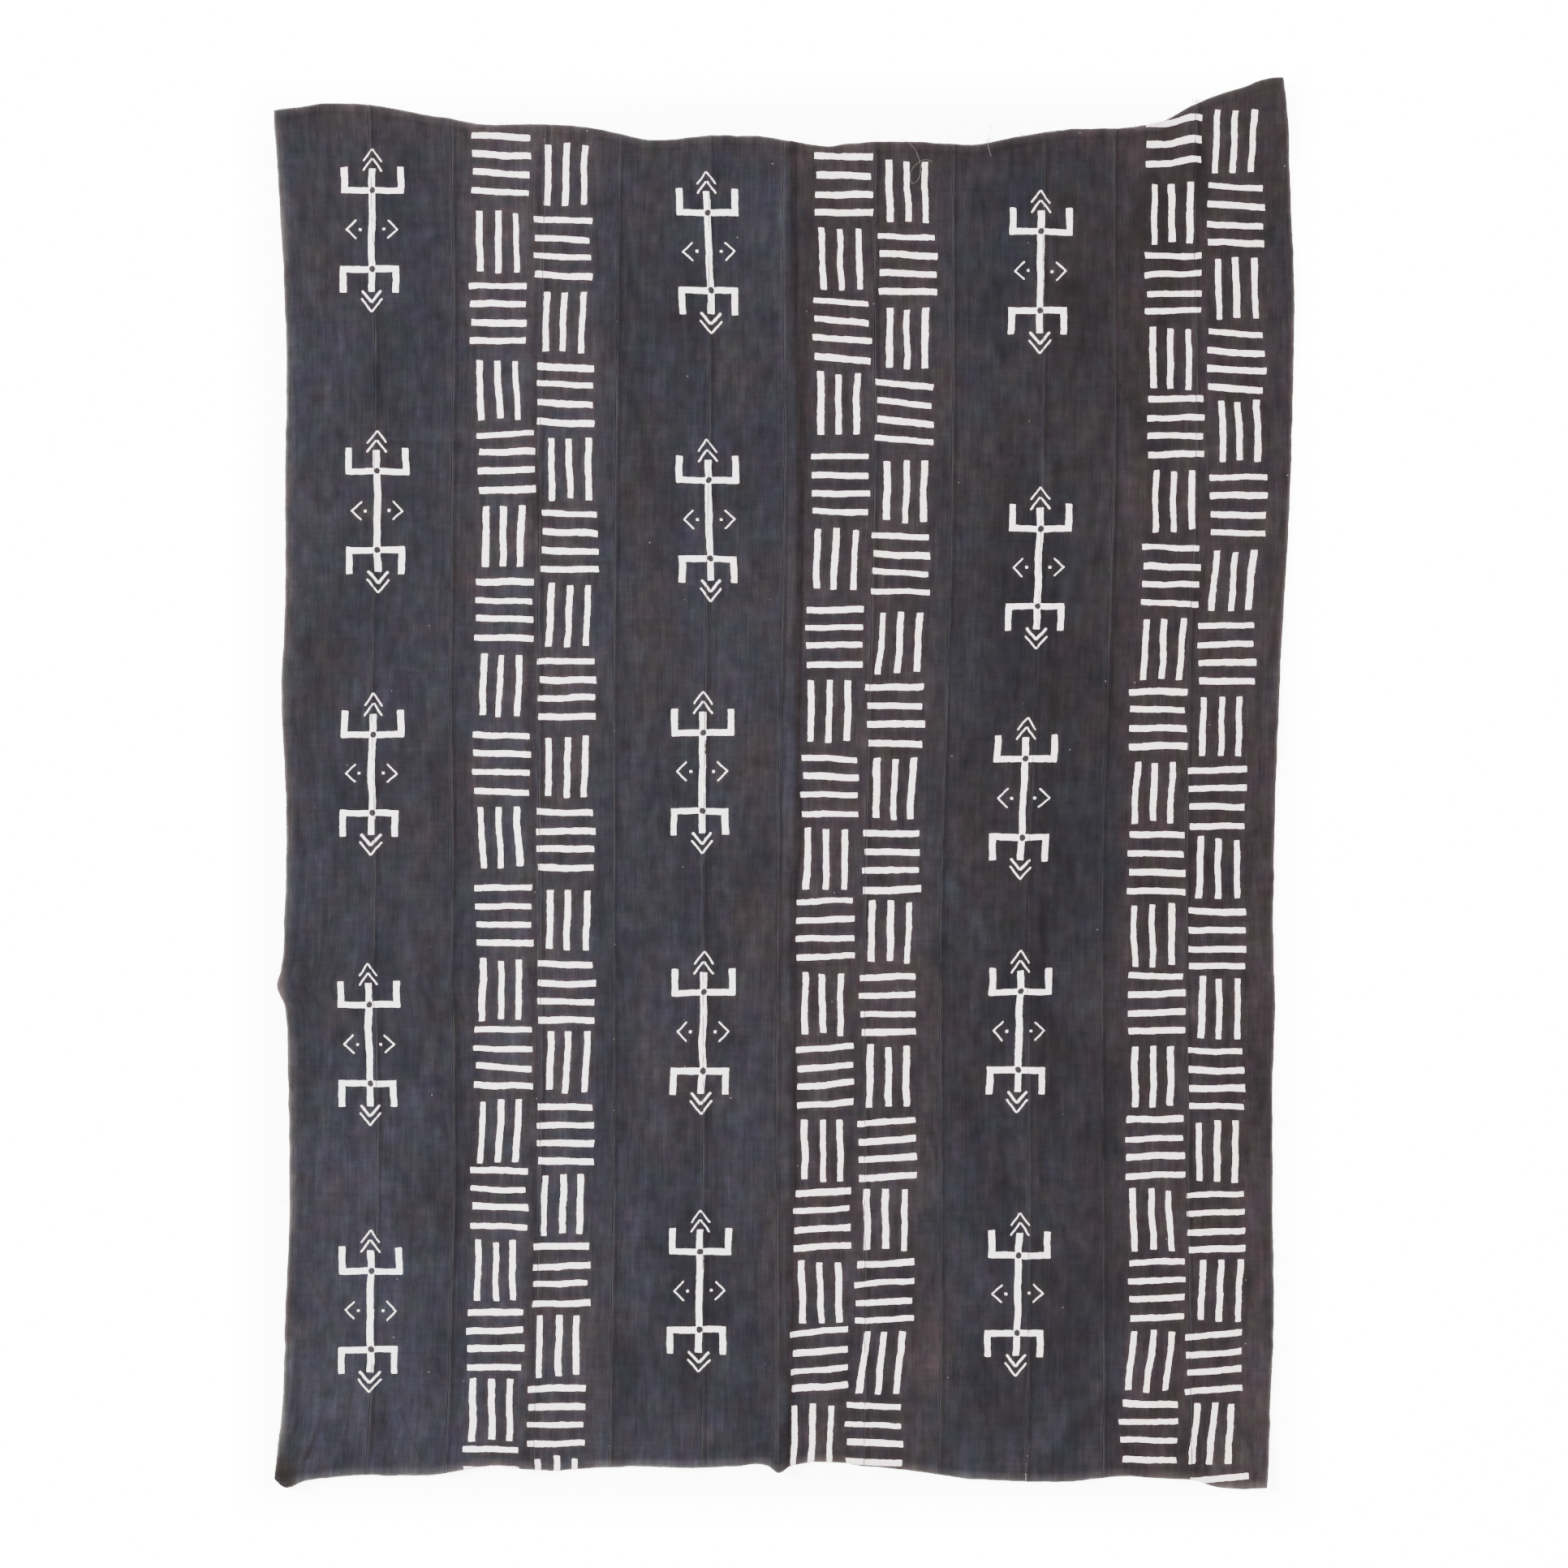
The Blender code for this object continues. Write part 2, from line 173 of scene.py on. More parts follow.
# Bar blocks from the top down, by column: place across, place along, lean
BLOCK_PLACES = (
    (
        (-0.3153, 0.6904, -0.062), (-0.3187, 0.6043, -0.008), (-0.3189, 0.524, -0.007),
        (-0.3179, 0.4392, -0.045), (-0.3098, 0.3592, 0.031), (-0.3127, 0.275, 0.022),
        (-0.3116, 0.1936, -0.017), (-0.3157, 0.1108, 0.05), (-0.3143, 0.0237, -0.02),
        (-0.3161, -0.0593, -0.038), (-0.3121, -0.1458, -0.008), (-0.3149, -0.2293, 0.016),
        (-0.313, -0.3047, -0.026), (-0.3166, -0.3872, 0.033), (-0.3171, -0.462, -0.022),
        (-0.3215, -0.5423, 0.015), (-0.3225, -0.6191, 0.015), (-0.3261, -0.6984, -0.003),
        (-0.3261, -0.7734, 0.01),
    ),
    (
        (-0.2426, 0.6784, 0.01), (-0.2465, 0.5975, -0.044), (-0.2454, 0.5152, 0.039),
        (-0.2442, 0.4343, -0.056), (-0.2383, 0.351, -0.02), (-0.2388, 0.2703, -0.025),
        (-0.2398, 0.1873, 0.039), (-0.2424, 0.1055, -0.006), (-0.2421, 0.019, 0.025),
        (-0.2438, -0.0626, -0.006), (-0.2409, -0.1515, 0.03), (-0.2433, -0.2322, -0.013),
        (-0.2412, -0.3098, 0.035), (-0.2438, -0.3903, -0.006), (-0.247, -0.4681, 0.023),
        (-0.2488, -0.5474, 0.014), (-0.2514, -0.626, 0.002), (-0.2542, -0.7041, -0.007),
        (-0.2542, -0.7829, 0.01),
    ),
    (
        (0.066, 0.6676, -0.009), (0.0635, 0.5857, -0.028), (0.0647, 0.5055, -0.071),
        (0.0607, 0.4234, -0.001), (0.0633, 0.3334, -0.025), (0.0576, 0.2506, 0.037),
        (0.0565, 0.1641, 0.004), (0.0507, 0.081, 0.019), (0.0516, -0.0019, -0.023),
        (0.0464, -0.0837, 0.022), (0.0461, -0.1616, 0.024), (0.0436, -0.2447, -0.009),
        (0.0461, -0.3252, 0.076), (0.043, -0.4075, -0.008), (0.0425, -0.4849, 0.062),
        (0.041, -0.5672, -0.036), (0.0394, -0.6417, 0.07), (0.0308, -0.725, 0.041),
        (0.03, -0.808, 0.02),
    ),
    (
        (0.1374, 0.6599, -0.026), (0.1375, 0.5788, -0.034), (0.1374, 0.4957, 0.017),
        (0.1343, 0.4142, -0.08), (0.1353, 0.3257, 0.012), (0.1307, 0.2452, -0.04),
        (0.1285, 0.1574, 0.08), (0.1235, 0.0766, -0.007), (0.1231, -0.0054, 0.039),
        (0.119, -0.0862, 0.017), (0.1179, -0.1642, 0.032), (0.1158, -0.2458, 0.039),
        (0.1156, -0.3266, 0.005), (0.1144, -0.407, 0.057), (0.1133, -0.4858, -0.004),
        (0.1122, -0.5659, 0.046), (0.108, -0.6454, 0.11), (0.1004, -0.7237, -0.036),
        (0.1, -0.81, 0.02),
    ),
    (
        (0.4342, 0.7247, 0.0), (0.4326, 0.6359, 0.0), (0.4342, 0.5575, 0.021),
        (0.4309, 0.474, -0.014), (0.4365, 0.3981, 0.024), (0.4335, 0.3157, 0.01),
        (0.4315, 0.2324, -0.028), (0.4227, 0.1502, 0.049), (0.4161, 0.0723, -0.008),
        (0.4115, -0.009, 0.041), (0.4148, -0.088, -0.024), (0.4111, -0.1687, -0.012),
        (0.4152, -0.2444, 0.017), (0.4103, -0.3257, 0.019), (0.4129, -0.4049, 0.018),
        (0.4098, -0.4858, -0.045), (0.4157, -0.5628, 0.051), (0.4079, -0.6432, 0.124),
        (0.4071, -0.7209, -0.016), (0.4071, -0.815, 0.0),
    ),
    (
        (0.502, 0.716, 0.038), (0.5034, 0.6335, -0.036), (0.5041, 0.5527, -0.023),
        (0.5034, 0.4713, -0.071), (0.5071, 0.393, -0.026), (0.5061, 0.3104, -0.013),
        (0.5007, 0.2266, 0.097), (0.493, 0.1454, 0.02), (0.4868, 0.0647, 0.032),
        (0.4826, -0.0154, 0.016), (0.4837, -0.0941, 0.02), (0.4822, -0.1731, 0.005),
        (0.4856, -0.2497, 0.014), (0.4817, -0.329, 0.007), (0.4829, -0.4093, -0.001),
        (0.4817, -0.4879, 0.037), (0.4859, -0.564, 0.036), (0.479, -0.6434, 0.094),
        (0.4765, -0.7246, 0.085), (0.485, -0.805, 0.06),
    ),
)

# The block that the corner pulls out of shape: column, course, middle of the pull,
# its reach, its lift, and how far the bars are drawn apart
PULLED_BLOCK = (5, 0, 0.4553, 0.032, 0.0068, 1.1)

# Figures from the top down, by column: place across, place along, lean of the stem
FIGURE_PLACES = (
    (
        (-0.4592, 0.6178, 0.005), (-0.4532, 0.3048, -0.004), (-0.4591, 0.0118, 0.01),
        (-0.4622, -0.2895, -0.016), (-0.461, -0.5862, 0.004),
    ),
    (
        (-0.0835, 0.5934, -0.037), (-0.0836, 0.2949, -0.024), (-0.0909, 0.0136, 0.004),
        (-0.0906, -0.2759, 0.02), (-0.0941, -0.5645, 0.016),
    ),
    (
        (0.2857, 0.5717, 0.014), (0.2835, 0.2415, 0.036), (0.2669, -0.0154, 0.048),
        (0.2619, -0.275, 0.028), (0.2605, -0.5681, 0.03),
    ),
)

# Zones of the bars: middle across, reach across, how much browner, how much lighter
BAR_ZONES: Rows = (
    (-0.278, 0.073, 0.16, 0.3),
    (0.09, 0.08, 0.34, 0.1),
    (0.46, 0.085, 0.52, 0.08),
)

# Stains and rubbed places: across, along, reach across, reach along, brown, fade
STAINS: Rows = (
    (-0.025, 0.02, 0.035, 0.09, 0.55, 0.1), (0.165, -0.635, 0.045, 0.05, 0.7, 0.1),
    (-0.205, 0.695, 0.025, 0.05, 0.45, 0.0), (-0.295, 0.275, 0.045, 0.03, 0.5, 0.25),
    (-0.305, 0.635, 0.025, 0.012, 0.7, 0.35), (-0.025, -0.15, 0.05, 0.06, 0.35, 0.15),
    (0.185, 0.45, 0.025, 0.05, 0.5, 0.0), (0.21, -0.1, 0.03, 0.09, 0.35, 0.0),
    (0.345, 0.05, 0.03, 0.08, 0.4, 0.0), (-0.47, -0.55, 0.15, 0.3, -0.25, 0.3),
    (-0.04, -0.43, 0.05, 0.12, -0.1, 0.3), (-0.215, -0.45, 0.05, 0.2, -0.15, 0.15),
    (0.39, 0.55, 0.15, 0.3, 0.1, -0.25), (-0.05, 0.42, 0.04, 0.12, 0.15, -0.1),
    (0.23, -0.45, 0.05, 0.12, 0.0, -0.1), (-0.14, -0.43, 0.09, 0.26, 0.0, 0.3),
    (-0.14, 0.15, 0.08, 0.25, 0.05, 0.16), (-0.045, -0.43, 0.045, 0.18, 0.05, 0.22),
    (0.52, -0.7, 0.06, 0.14, 0.1, 0.35), (-0.525, 0.6, 0.05, 0.15, 0.1, -0.1),
    (-0.43, -0.72, 0.16, 0.12, -0.35, 0.26), (-0.16, -0.73, 0.13, 0.09, 0.0, 0.36),
    (0.5, -0.765, 0.07, 0.06, 0.25, 0.2), (0.285, 0.05, 0.13, 0.9, 0.0, -0.24),
    (-0.13, 0.45, 0.13, 0.35, 0.0, -0.12), (-0.45, 0.45, 0.13, 0.4, 0.0, -0.1),
    (-0.49, 0.0, 0.09, 0.3, 0.0, -0.12), (0.465, 0.69, 0.018, 0.07, 0.6, -0.55),
    (0.44, 0.64, 0.07, 0.13, 0.1, -0.3), (0.024, 0.46, 0.0105, 0.28, 0.45, -0.6),
    (0.0098, 0.66, 0.0045, 0.11, 0.3, -0.6), (0.042, 0.57, 0.045, 0.15, 0.15, -0.42),
    (0.042, -0.3, 0.045, 0.15, 0.0, 0.42), (-0.279, -0.25, 0.07, 0.24, 0.0, 0.38),
    (-0.279, 0.7, 0.07, 0.07, 0.0, 0.2), (0.52, -0.2, 0.05, 0.15, 0.1, 0.3),
    (0.52, 0.62, 0.05, 0.12, 0.25, -0.22), (0.24, 0.54, 0.05, 0.08, 0.0, -0.26),
    (0.24, -0.14, 0.05, 0.11, -0.1, 0.24), (0.24, -0.49, 0.05, 0.08, 0.0, -0.2),
    (0.33, 0.53, 0.05, 0.08, 0.1, -0.26), (0.415, 0.38, 0.04, 0.22, 0.1, -0.2),
    (0.28, -0.75, 0.14, 0.06, 0.0, 0.36), (-0.51, 0.15, 0.05, 0.07, 0.15, -0.26),
    (-0.51, -0.23, 0.05, 0.07, 0.0, 0.22), (-0.41, -0.38, 0.045, 0.1, -0.1, 0.38),
    (0.13, -0.36, 0.045, 0.07, 0.0, -0.22), (0.13, 0.3, 0.045, 0.06, 0.0, 0.22),
    (0.33, -0.35, 0.045, 0.07, 0.0, 0.22), (-0.05, -0.22, 0.045, 0.07, 0.0, 0.24),
    (-0.46, -0.66, 0.12, 0.14, -0.2, 0.12), (-0.2735, 0.31, 0.0062, 0.078, 0.5, -0.75),
    (-0.289, 0.285, 0.005, 0.05, 0.5, 0.35), (0.28, -0.12, 0.012, 0.15, 0.0, 0.3),
    (0.29, 0.33, 0.014, 0.07, 0.0, 0.3), (-0.563, 0.25, 0.022, 0.13, 0.0, -0.16),
    (-0.545, -0.223, 0.018, 0.032, 0.0, 0.4), (-0.564, -0.223, 0.015, 0.036, 0.9, 0.1),
    (-0.56, -0.775, 0.024, 0.028, 1.0, -0.5), (0.545, -0.4, 0.03, 0.25, -0.15, -0.3),
    (-0.01, -0.4, 0.022, 0.42, 0.2, 0.06),
)

# Rubbed spots of the rim: across, along, reach across, reach along, how strong
RIM_SPOTS: Rows = (
    (-0.564, -0.223, 0.014, 0.034, 0.7),
    (0.4, 0.7345, 0.038, 0.008, 0.7),
    (-0.33, 0.7345, 0.04, 0.007, 0.25),
    (-0.562, 0.58, 0.013, 0.13, 0.3),
    (-0.553, -0.41, 0.012, 0.15, 0.28),
    (-0.562, -0.7, 0.012, 0.07, 0.28),
    (0.52, -0.782, 0.06, 0.008, 0.25),
)


class StripKind(Enum):
    """What is painted on a strip."""

    FIGURED = "figured"
    BARRED = "barred"


class Sheet(IntEnum):
    """Which random sheet each unevenness is read from."""

    SWELL = 1
    RIPPLE = 2
    RIPPLE_ENDS = 3
    PUCKER = 5
    HEM_ROLL = 7
    WARM_PATCHES = 21
    ZONE_WANDER = 22
    STAIN_EDGES = 23
    BROAD_FADE = 24
    SMALL_FADE = 25
    RIM_PATCHES = 26
    RIM_SPECKS = 27
    HEM = 40
    HEM_FINE = 42
    EDGE = 50
    EDGE_FINE = 70
    LEFT_SELVEDGE = 90
    RIGHT_SELVEDGE = 91


SHEET_CELLS = 128


def strip_pair(number: int) -> int:
    """Which pair of strips a strip belongs to, counted from 0 at the left."""
    return (number - 1) // 2


def strip_kind(number: int) -> StripKind:
    """What a strip carries: every second pair of strips is barred."""
    return StripKind.BARRED if strip_pair(number) % 2 else StripKind.FIGURED


def ease(share: Values) -> Values:
    """A share between 0 and 1 with soft ends."""
    return share * share * (3 - 2 * share)


def smooth_read(table: Rows, places: Values, column: int) -> Values:
    """Read one column of a table with a smooth curve through its rows.

    Args:
        table: rows whose first value is the place.
        places: where to read.
        column: which value of each row.

    Returns:
        The value at each place.
    """
    rows = np.array(sorted(table, key=lambda row: row[0]), dtype=float)
    keys, values = rows[:, 0], rows[:, column]
    last = len(keys) - 1
    high = np.clip(np.searchsorted(keys, places), 1, last)
    low = high - 1
    before = np.clip(high - 2, 0, last)
    after = np.clip(high + 1, 0, last)
    span = keys[high] - keys[low]
    share = np.clip((places - keys[low]) / span, 0.0, 1.0)
    low_slope = (values[high] - values[before]) / (keys[high] - keys[before])
    high_slope = (values[after] - values[low]) / (keys[after] - keys[low])
    squared = share * share
    cubed = squared * share
    result = (2 * cubed - 3 * squared + 1) * values[low]
    result += (cubed - 2 * squared + share) * span * low_slope
    result += (3 * squared - 2 * cubed) * values[high]
    return result + (cubed - squared) * span * high_slope


def bell(distance: Values, reach: float | Values) -> Values:
    """A soft rise of 1 at distance 0 that ends at the reach."""
    inside = np.clip(np.abs(distance) / reach, 0.0, 1.0)
    return 0.5 + 0.5 * np.cos(math.pi * inside)


def drift(seed: int, first: Values, second: Values | float) -> Values:
    """Smooth random values between 0 and 1 over a plane.

    Args:
        seed: which random sheet.
        first: place in the first direction, in cells.
        second: place in the second direction, in cells.

    Returns:
        One value for each place.
    """
    sheet = np.random.RandomState(seed).rand(SHEET_CELLS, SHEET_CELLS)
    first, second = np.broadcast_arrays(np.asarray(first, float), np.asarray(second, float))
    cell_1 = np.floor(first).astype(int)
    cell_2 = np.floor(second).astype(int)
    part_1 = ease(first - cell_1)
    part_2 = ease(second - cell_2)

    def corner(step_1: int, step_2: int) -> Values:
        """Random value at one corner of each cell."""
        return sheet[(cell_1 + step_1) % SHEET_CELLS, (cell_2 + step_2) % SHEET_CELLS]

    near = corner(0, 0) * (1 - part_2) + corner(0, 1) * part_2
    far = corner(1, 0) * (1 - part_2) + corner(1, 1) * part_2
    return near * (1 - part_1) + far * part_1


def spot_distance(across: Values, along: Values, row: Row) -> Values:
    """Distance from the middle of a spot, 1 at its end.

    Args:
        across: places across the cloth.
        along: places along the cloth.
        row: middle across, middle along, reach across, reach along.

    Returns:
        The distance in reaches.
    """
    middle_x, middle_y, reach_x, reach_y = row[:4]
    return np.hypot((across - middle_x) / reach_x, (along - middle_y) / reach_y)


def line_distance(
    across: Values, along: Values, row: Row
) -> tuple[Values, Values]:
    """Distance to a straight line whose ends are a row's first four values.

    Args:
        across: places across the cloth.
        along: places along the cloth.
        row: start across, start along, end across, end along.

    Returns:
        The distance, and the same distance with a sign for the side of the line.
    """
    start_x, start_y, end_x, end_y = row[:4]
    run_x, run_y = end_x - start_x, end_y - start_y
    length_squared = run_x * run_x + run_y * run_y
    share = ((across - start_x) * run_x + (along - start_y) * run_y) / length_squared
    share = np.clip(share, 0.0, 1.0)
    off_x = across - start_x - run_x * share
    off_y = along - start_y - run_y * share
    distance = np.hypot(off_x, off_y)
    side = np.sign(off_x * run_y - off_y * run_x)
    return distance, distance * side


@dataclass(frozen=True)
class LyingCloth:
    """The whole cloth as it lies: its outline, its joins and its folds."""

    thickness: float = 0.0013
    slope_step: float = 0.0002
    edge_wobble: float = 0.0009
    edge_wobble_cell: float = 0.017
    fine_wobble_cell: float = 0.0051
    join_wobble: float = 0.000495
    swell_height: float = 0.0016
    swell_cell: tuple[float, float] = (0.05, 0.17)
    ripple_height: float = 0.0012
    ripple_least: float = 0.4
    # Cell across, cell along, and the length in which a ripple leans over by one cell
    ripple_cell: tuple[float, float, float] = (0.017, 0.075, 0.1125)
    ripple_ends_cell: tuple[float, float, float] = (0.06, 0.022, 0.4 / 3)
    pucker_height: float = 0.0006
    pucker_reach: float = 0.016
    pucker_cell: tuple[float, float] = (0.05, 0.0085)
    # Painted shade (strength below 0) and painted highlight (above 0) beside a crease: strength,
    # then place and reach as shares of its reach
    long_shades: Rows = ((-1.15, 0.65, 0.52), (0.6, -0.3, 0.45))
    slant_shades: Rows = ((0.26, -0.42, 0.45), (-0.34, 0.2, 0.42))
    fine_shades: Rows = ((-0.56, 0.2, 0.6), (0.46, -0.45, 0.5))

    def hem(self, across: Values, column: int) -> Values:
        """Place along the cloth of its top or bottom hem.

        Args:
            across: places across the cloth.
            column: 1 for the top hem, 2 for the bottom hem.

        Returns:
            The places along.
        """
        fine = drift(Sheet.HEM + column, across / self.edge_wobble_cell, 0.5) - 0.5
        small = drift(Sheet.HEM_FINE + column, across / self.fine_wobble_cell, 0.5) - 0.5
        wobble = self.edge_wobble * (2.0 * fine + 0.7 * small)
        return smooth_read(HEM_COURSES, across, column) + wobble

    def join(self, number: int, along: Values) -> Values:
        """Place across the cloth of a join or side edge.

        Args:
            number: 0 for the left edge, 1 to 11 for a join, 12 for the right edge.
            along: places along the cloth.

        Returns:
            The places across.
        """
        group = next(
            index for index, (_, last) in enumerate(STRIP_GROUPS) if number <= last
        )
        first, last = STRIP_GROUPS[group]
        left, right = (
            smooth_read(table, along, column)
            for table, column in SET_LINES[group : group + 2]
        )
        share = sum(STRIP_WIDTHS[first:number]) / sum(STRIP_WIDTHS[first:last])
        return left + (right - left) * share

    def edge(self, number: int, along: Values) -> Values:
        """A join or side edge with the small unevenness of a woven edge.

        Args:
            number: 0 for the left edge, 1 to 11 for a join, 12 for the right edge.
            along: places along the cloth.

        Returns:
            The places across.
        """
        fine = drift(Sheet.EDGE + number, along / self.edge_wobble_cell, 0.5) - 0.5
        small = drift(Sheet.EDGE_FINE + number, along / self.fine_wobble_cell, 0.5) - 0.5
        outer = number in (0, STRIP_COUNT)
        size = self.edge_wobble if outer else self.join_wobble
        return self.join(number, along) + size * (1.6 * fine + 0.6 * small)

    def crease_away(self, row: Row, across: Values, along: Values) -> Values:
        """Signed distance from the top of a long crease."""
        offset = smooth_read(CREASE_OFFSETS, along, row[1])
        return across - self.join(row[0], along) - offset

    def crease_fade(self, row: Row, along: Values) -> Values:
        """How far a long crease has risen, its ends and swells included.

        Args:
            row: the crease, from JOIN_CREASES.
            along: places along the cloth.

        Returns:
            A share between 0 and 1.
        """
        join, bottom, top, reach, uneven = row[0], row[2], row[3], row[5], row[7]
        swell = np.sin(2 * math.pi * along / CREASE_SWELL + join)
        fade = np.minimum((along - bottom) / reach, (top - along) / reach)
        return ease(np.clip(fade, 0.0, 1.0)) * (1 - uneven * (0.5 + 0.5 * swell))

    def fold_height(self, across: Values, along: Values) -> Values:
        """Height of the folds that the solids have too.

        Args:
            across: places across the cloth.
            along: places along the cloth.

        Returns:
            The heights.
        """
        height = np.zeros_like(across)
        for row in JOIN_CREASES:
            away = self.crease_away(row, across, along)
            reach = np.where(away < 0, row[5], row[6])
            height += row[4] * self.crease_fade(row, along) * bell(away, reach)
        for row in SLANT_CREASES:
            height += row[4] * bell(line_distance(across, along, row)[0], row[5])
        for row in RIM_LIFTS:
            height += row[4] * bell(spot_distance(across, along, row), 1.0)
        return height

    def fine_height(self, across: Values, along: Values) -> Values:
        """Height of the soft swells, ripples and pressed creases between the folds.

        Args:
            across: places across the cloth.
            along: places along the cloth.

        Returns:
            The heights.
        """
        cell_x, cell_y = self.swell_cell
        height = self.swell_height * drift(Sheet.SWELL, across / cell_x, along / cell_y) ** 2
        cell_x, cell_y, lean = self.ripple_cell
        ripple = drift(Sheet.RIPPLE, across / cell_x + along / lean, along / cell_y)
        cell_x, cell_y, lean = self.ripple_ends_cell
        ends = drift(Sheet.RIPPLE_ENDS, across / cell_x, along / cell_y + across / lean)
        least = self.ripple_least
        height += self.ripple_height * ripple * (least + (1 - least) * ends)
        for row in FINE_CREASES:
            height += row[4] * bell(line_distance(across, along, row)[0], row[5])
        return height

    def height(self, across: Values, along: Values) -> Values:
        """Height of the back face above the floor."""
        return self.fold_height(across, along) + self.fine_height(across, along)

    def outward(self, across: Values, along: Values) -> Values:
        """Direction that the front face looks in.

        Args:
            across: places across the cloth.
            along: places along the cloth.

        Returns:
            A direction of length 1 for each place.
        """
        here = self.height(across, along)
        slope_x = (self.height(across + self.slope_step, along) - here) / self.slope_step
        slope_y = (self.height(across, along + self.slope_step) - here) / self.slope_step
        direction = np.stack((-slope_x, -slope_y, np.ones_like(here)), axis=-1)
        return direction / np.linalg.norm(direction, axis=-1, keepdims=True)

    def crease_shade(self, across: Values, along: Values) -> Values:
        """Painted highlights on the tops (above 0) and painted shade at the feet (below 0) of the
        creases.

        Args:
            across: places across the cloth.
            along: places along the cloth.

        Returns:
            The painted highlight and shade.
        """

        def beside(away: Values, reach: float, shade: Row) -> Values:
            """One painted highlight or painted shade at its place beside the crease."""
            strength, place, share = shade
            return strength * bell(away - place * reach, share * reach)

        shade = np.zeros_like(across)
        foot, top = self.long_shades
        for row in JOIN_CREASES:
            away = self.crease_away(row, across, along)
            depth = row[8] * self.crease_fade(row, along)
            shade += depth * (beside(away, row[6], foot) + beside(away, row[5], top))
        for table, shades in (
            (SLANT_CREASES, self.slant_shades), (FINE_CREASES, self.fine_shades),
        ):
            for row in table:
                away = line_distance(across, along, row)[1]
                shade += sum(beside(away, row[5], part) for part in shades)
        return shade


@dataclass(frozen=True)
class MarkLayout:
    """Where the painted marks lie on the cloth, as coordinates of their own."""

    block_code: float = 0.2
    column_code: int = 32
    lying_reach: float = 0.0319
    standing_reach: float = 0.0244
    far_away: float = 0.5

    def is_standing(self, column: int, course: Values) -> Values:
        """1 for a block of standing bars, 0 for a block of lying bars."""
        return (course + 1 - column % 2) % 2

    def bar_places(
        self, strip: int, across: Values, along: np.ndarray
    ) -> Values:
        """Coordinates of the bars for the corners of each face of a barred strip.

        Args:
            strip: number of the strip.
            across: place across the cloth of each face's four corners.
            along: place along the cloth of each face's four corners.

        Returns:
            For each corner, the place across from its block's middle, and the place
            along from its block's middle plus a code for the column and course.
        """
        left_column = strip_pair(strip)
        middle_x = across.mean(axis=1)
        middle_y = along.mean(axis=1)
        courses, edges = {}, {}
        for column, side in ((left_column, 1), (left_column + 1, -1)):
            blocks = np.array(BLOCK_PLACES[column - 1])
            course = np.abs(middle_y[:, None] - blocks[None, :, 1]).argmin(axis=1)
            standing = self.is_standing(column, course) == 1
            reach = np.where(standing, self.standing_reach, self.lying_reach)
            courses[column] = course
            edges[column] = blocks[course, 0] + side * reach
        boundary = 0.5 * (edges[left_column] + edges[left_column + 1])
        chosen_column = np.where(middle_x < boundary, left_column, left_column + 1)
        result = np.zeros(across.shape + (2,))
        for column in (left_column, left_column + 1):
            chosen = chosen_column == column
            course = courses[column][chosen]
            block = np.array(BLOCK_PLACES[column - 1])[course]
            place = across[chosen] - block[:, None, 0]
            local = along[chosen] - block[:, None, 1]
            standing = self.is_standing(column, course)[:, None] == 1
            lean = block[:, None, 2]
            leant = np.where(standing, place - lean * local, place)
            local = np.where(standing, local, local - lean * place)
            pulled_column, pulled_course, middle, reach, lift, apart = PULLED_BLOCK
            if column == pulled_column:
                pull = lift * bell(across[chosen] - middle, reach)
                pulled = (course == pulled_course)[:, None]
                local = np.where(pulled, (local - pull) / apart, local)
            code = column * self.column_code + course + 1 - column % 2
            result[chosen, :, 0] = leant
            result[chosen, :, 1] = local + self.block_code * code[:, None]
        return result

    def figure_places(
        self, strip: int, across: Values, along: np.ndarray
    ) -> Values:
        """Coordinates of the figures for the corners of each face of a figured strip.

        Args:
            strip: number of the strip.
            across: place across the cloth of each face's four corners.
            along: place along the cloth of each face's four corners.

        Returns:
            For each corner, the place across from its figure's stem, and the place
            along from the figure's middle plus the figure's number.
        """
        column = strip_pair(strip) // 2
        figures = np.array(FIGURE_PLACES[column])
        nearest = np.abs(along.mean(axis=1)[:, None] - figures[None, :, 1]).argmin(axis=1)
        figure = figures[nearest]
        local = along - figure[:, None, 1]
        result = np.zeros(across.shape + (2,))
        result[:, :, 0] = across - figure[:, None, 0] - figure[:, None, 2] * local
        number = nearest + len(figures) * column
        result[:, :, 1] = local + number[:, None]
        return result

    def places(
        self, strip: int, across: Values, along: Values, front: np.ndarray
    ) -> Values:
        """Mark coordinates of every face corner, far away on the back.

        Args:
            strip: number of the strip.
            across: place across the cloth of each face's four corners.
            along: place along the cloth of each face's four corners.
            front: whether each face can carry marks.

        Returns:
            Two coordinates for each corner.
        """
        barred = strip_kind(strip) is StripKind.BARRED
        placing = self.bar_places if barred else self.figure_places
        result = placing(strip, across, along)
        result[~front, :, 0] = self.far_away
        return result


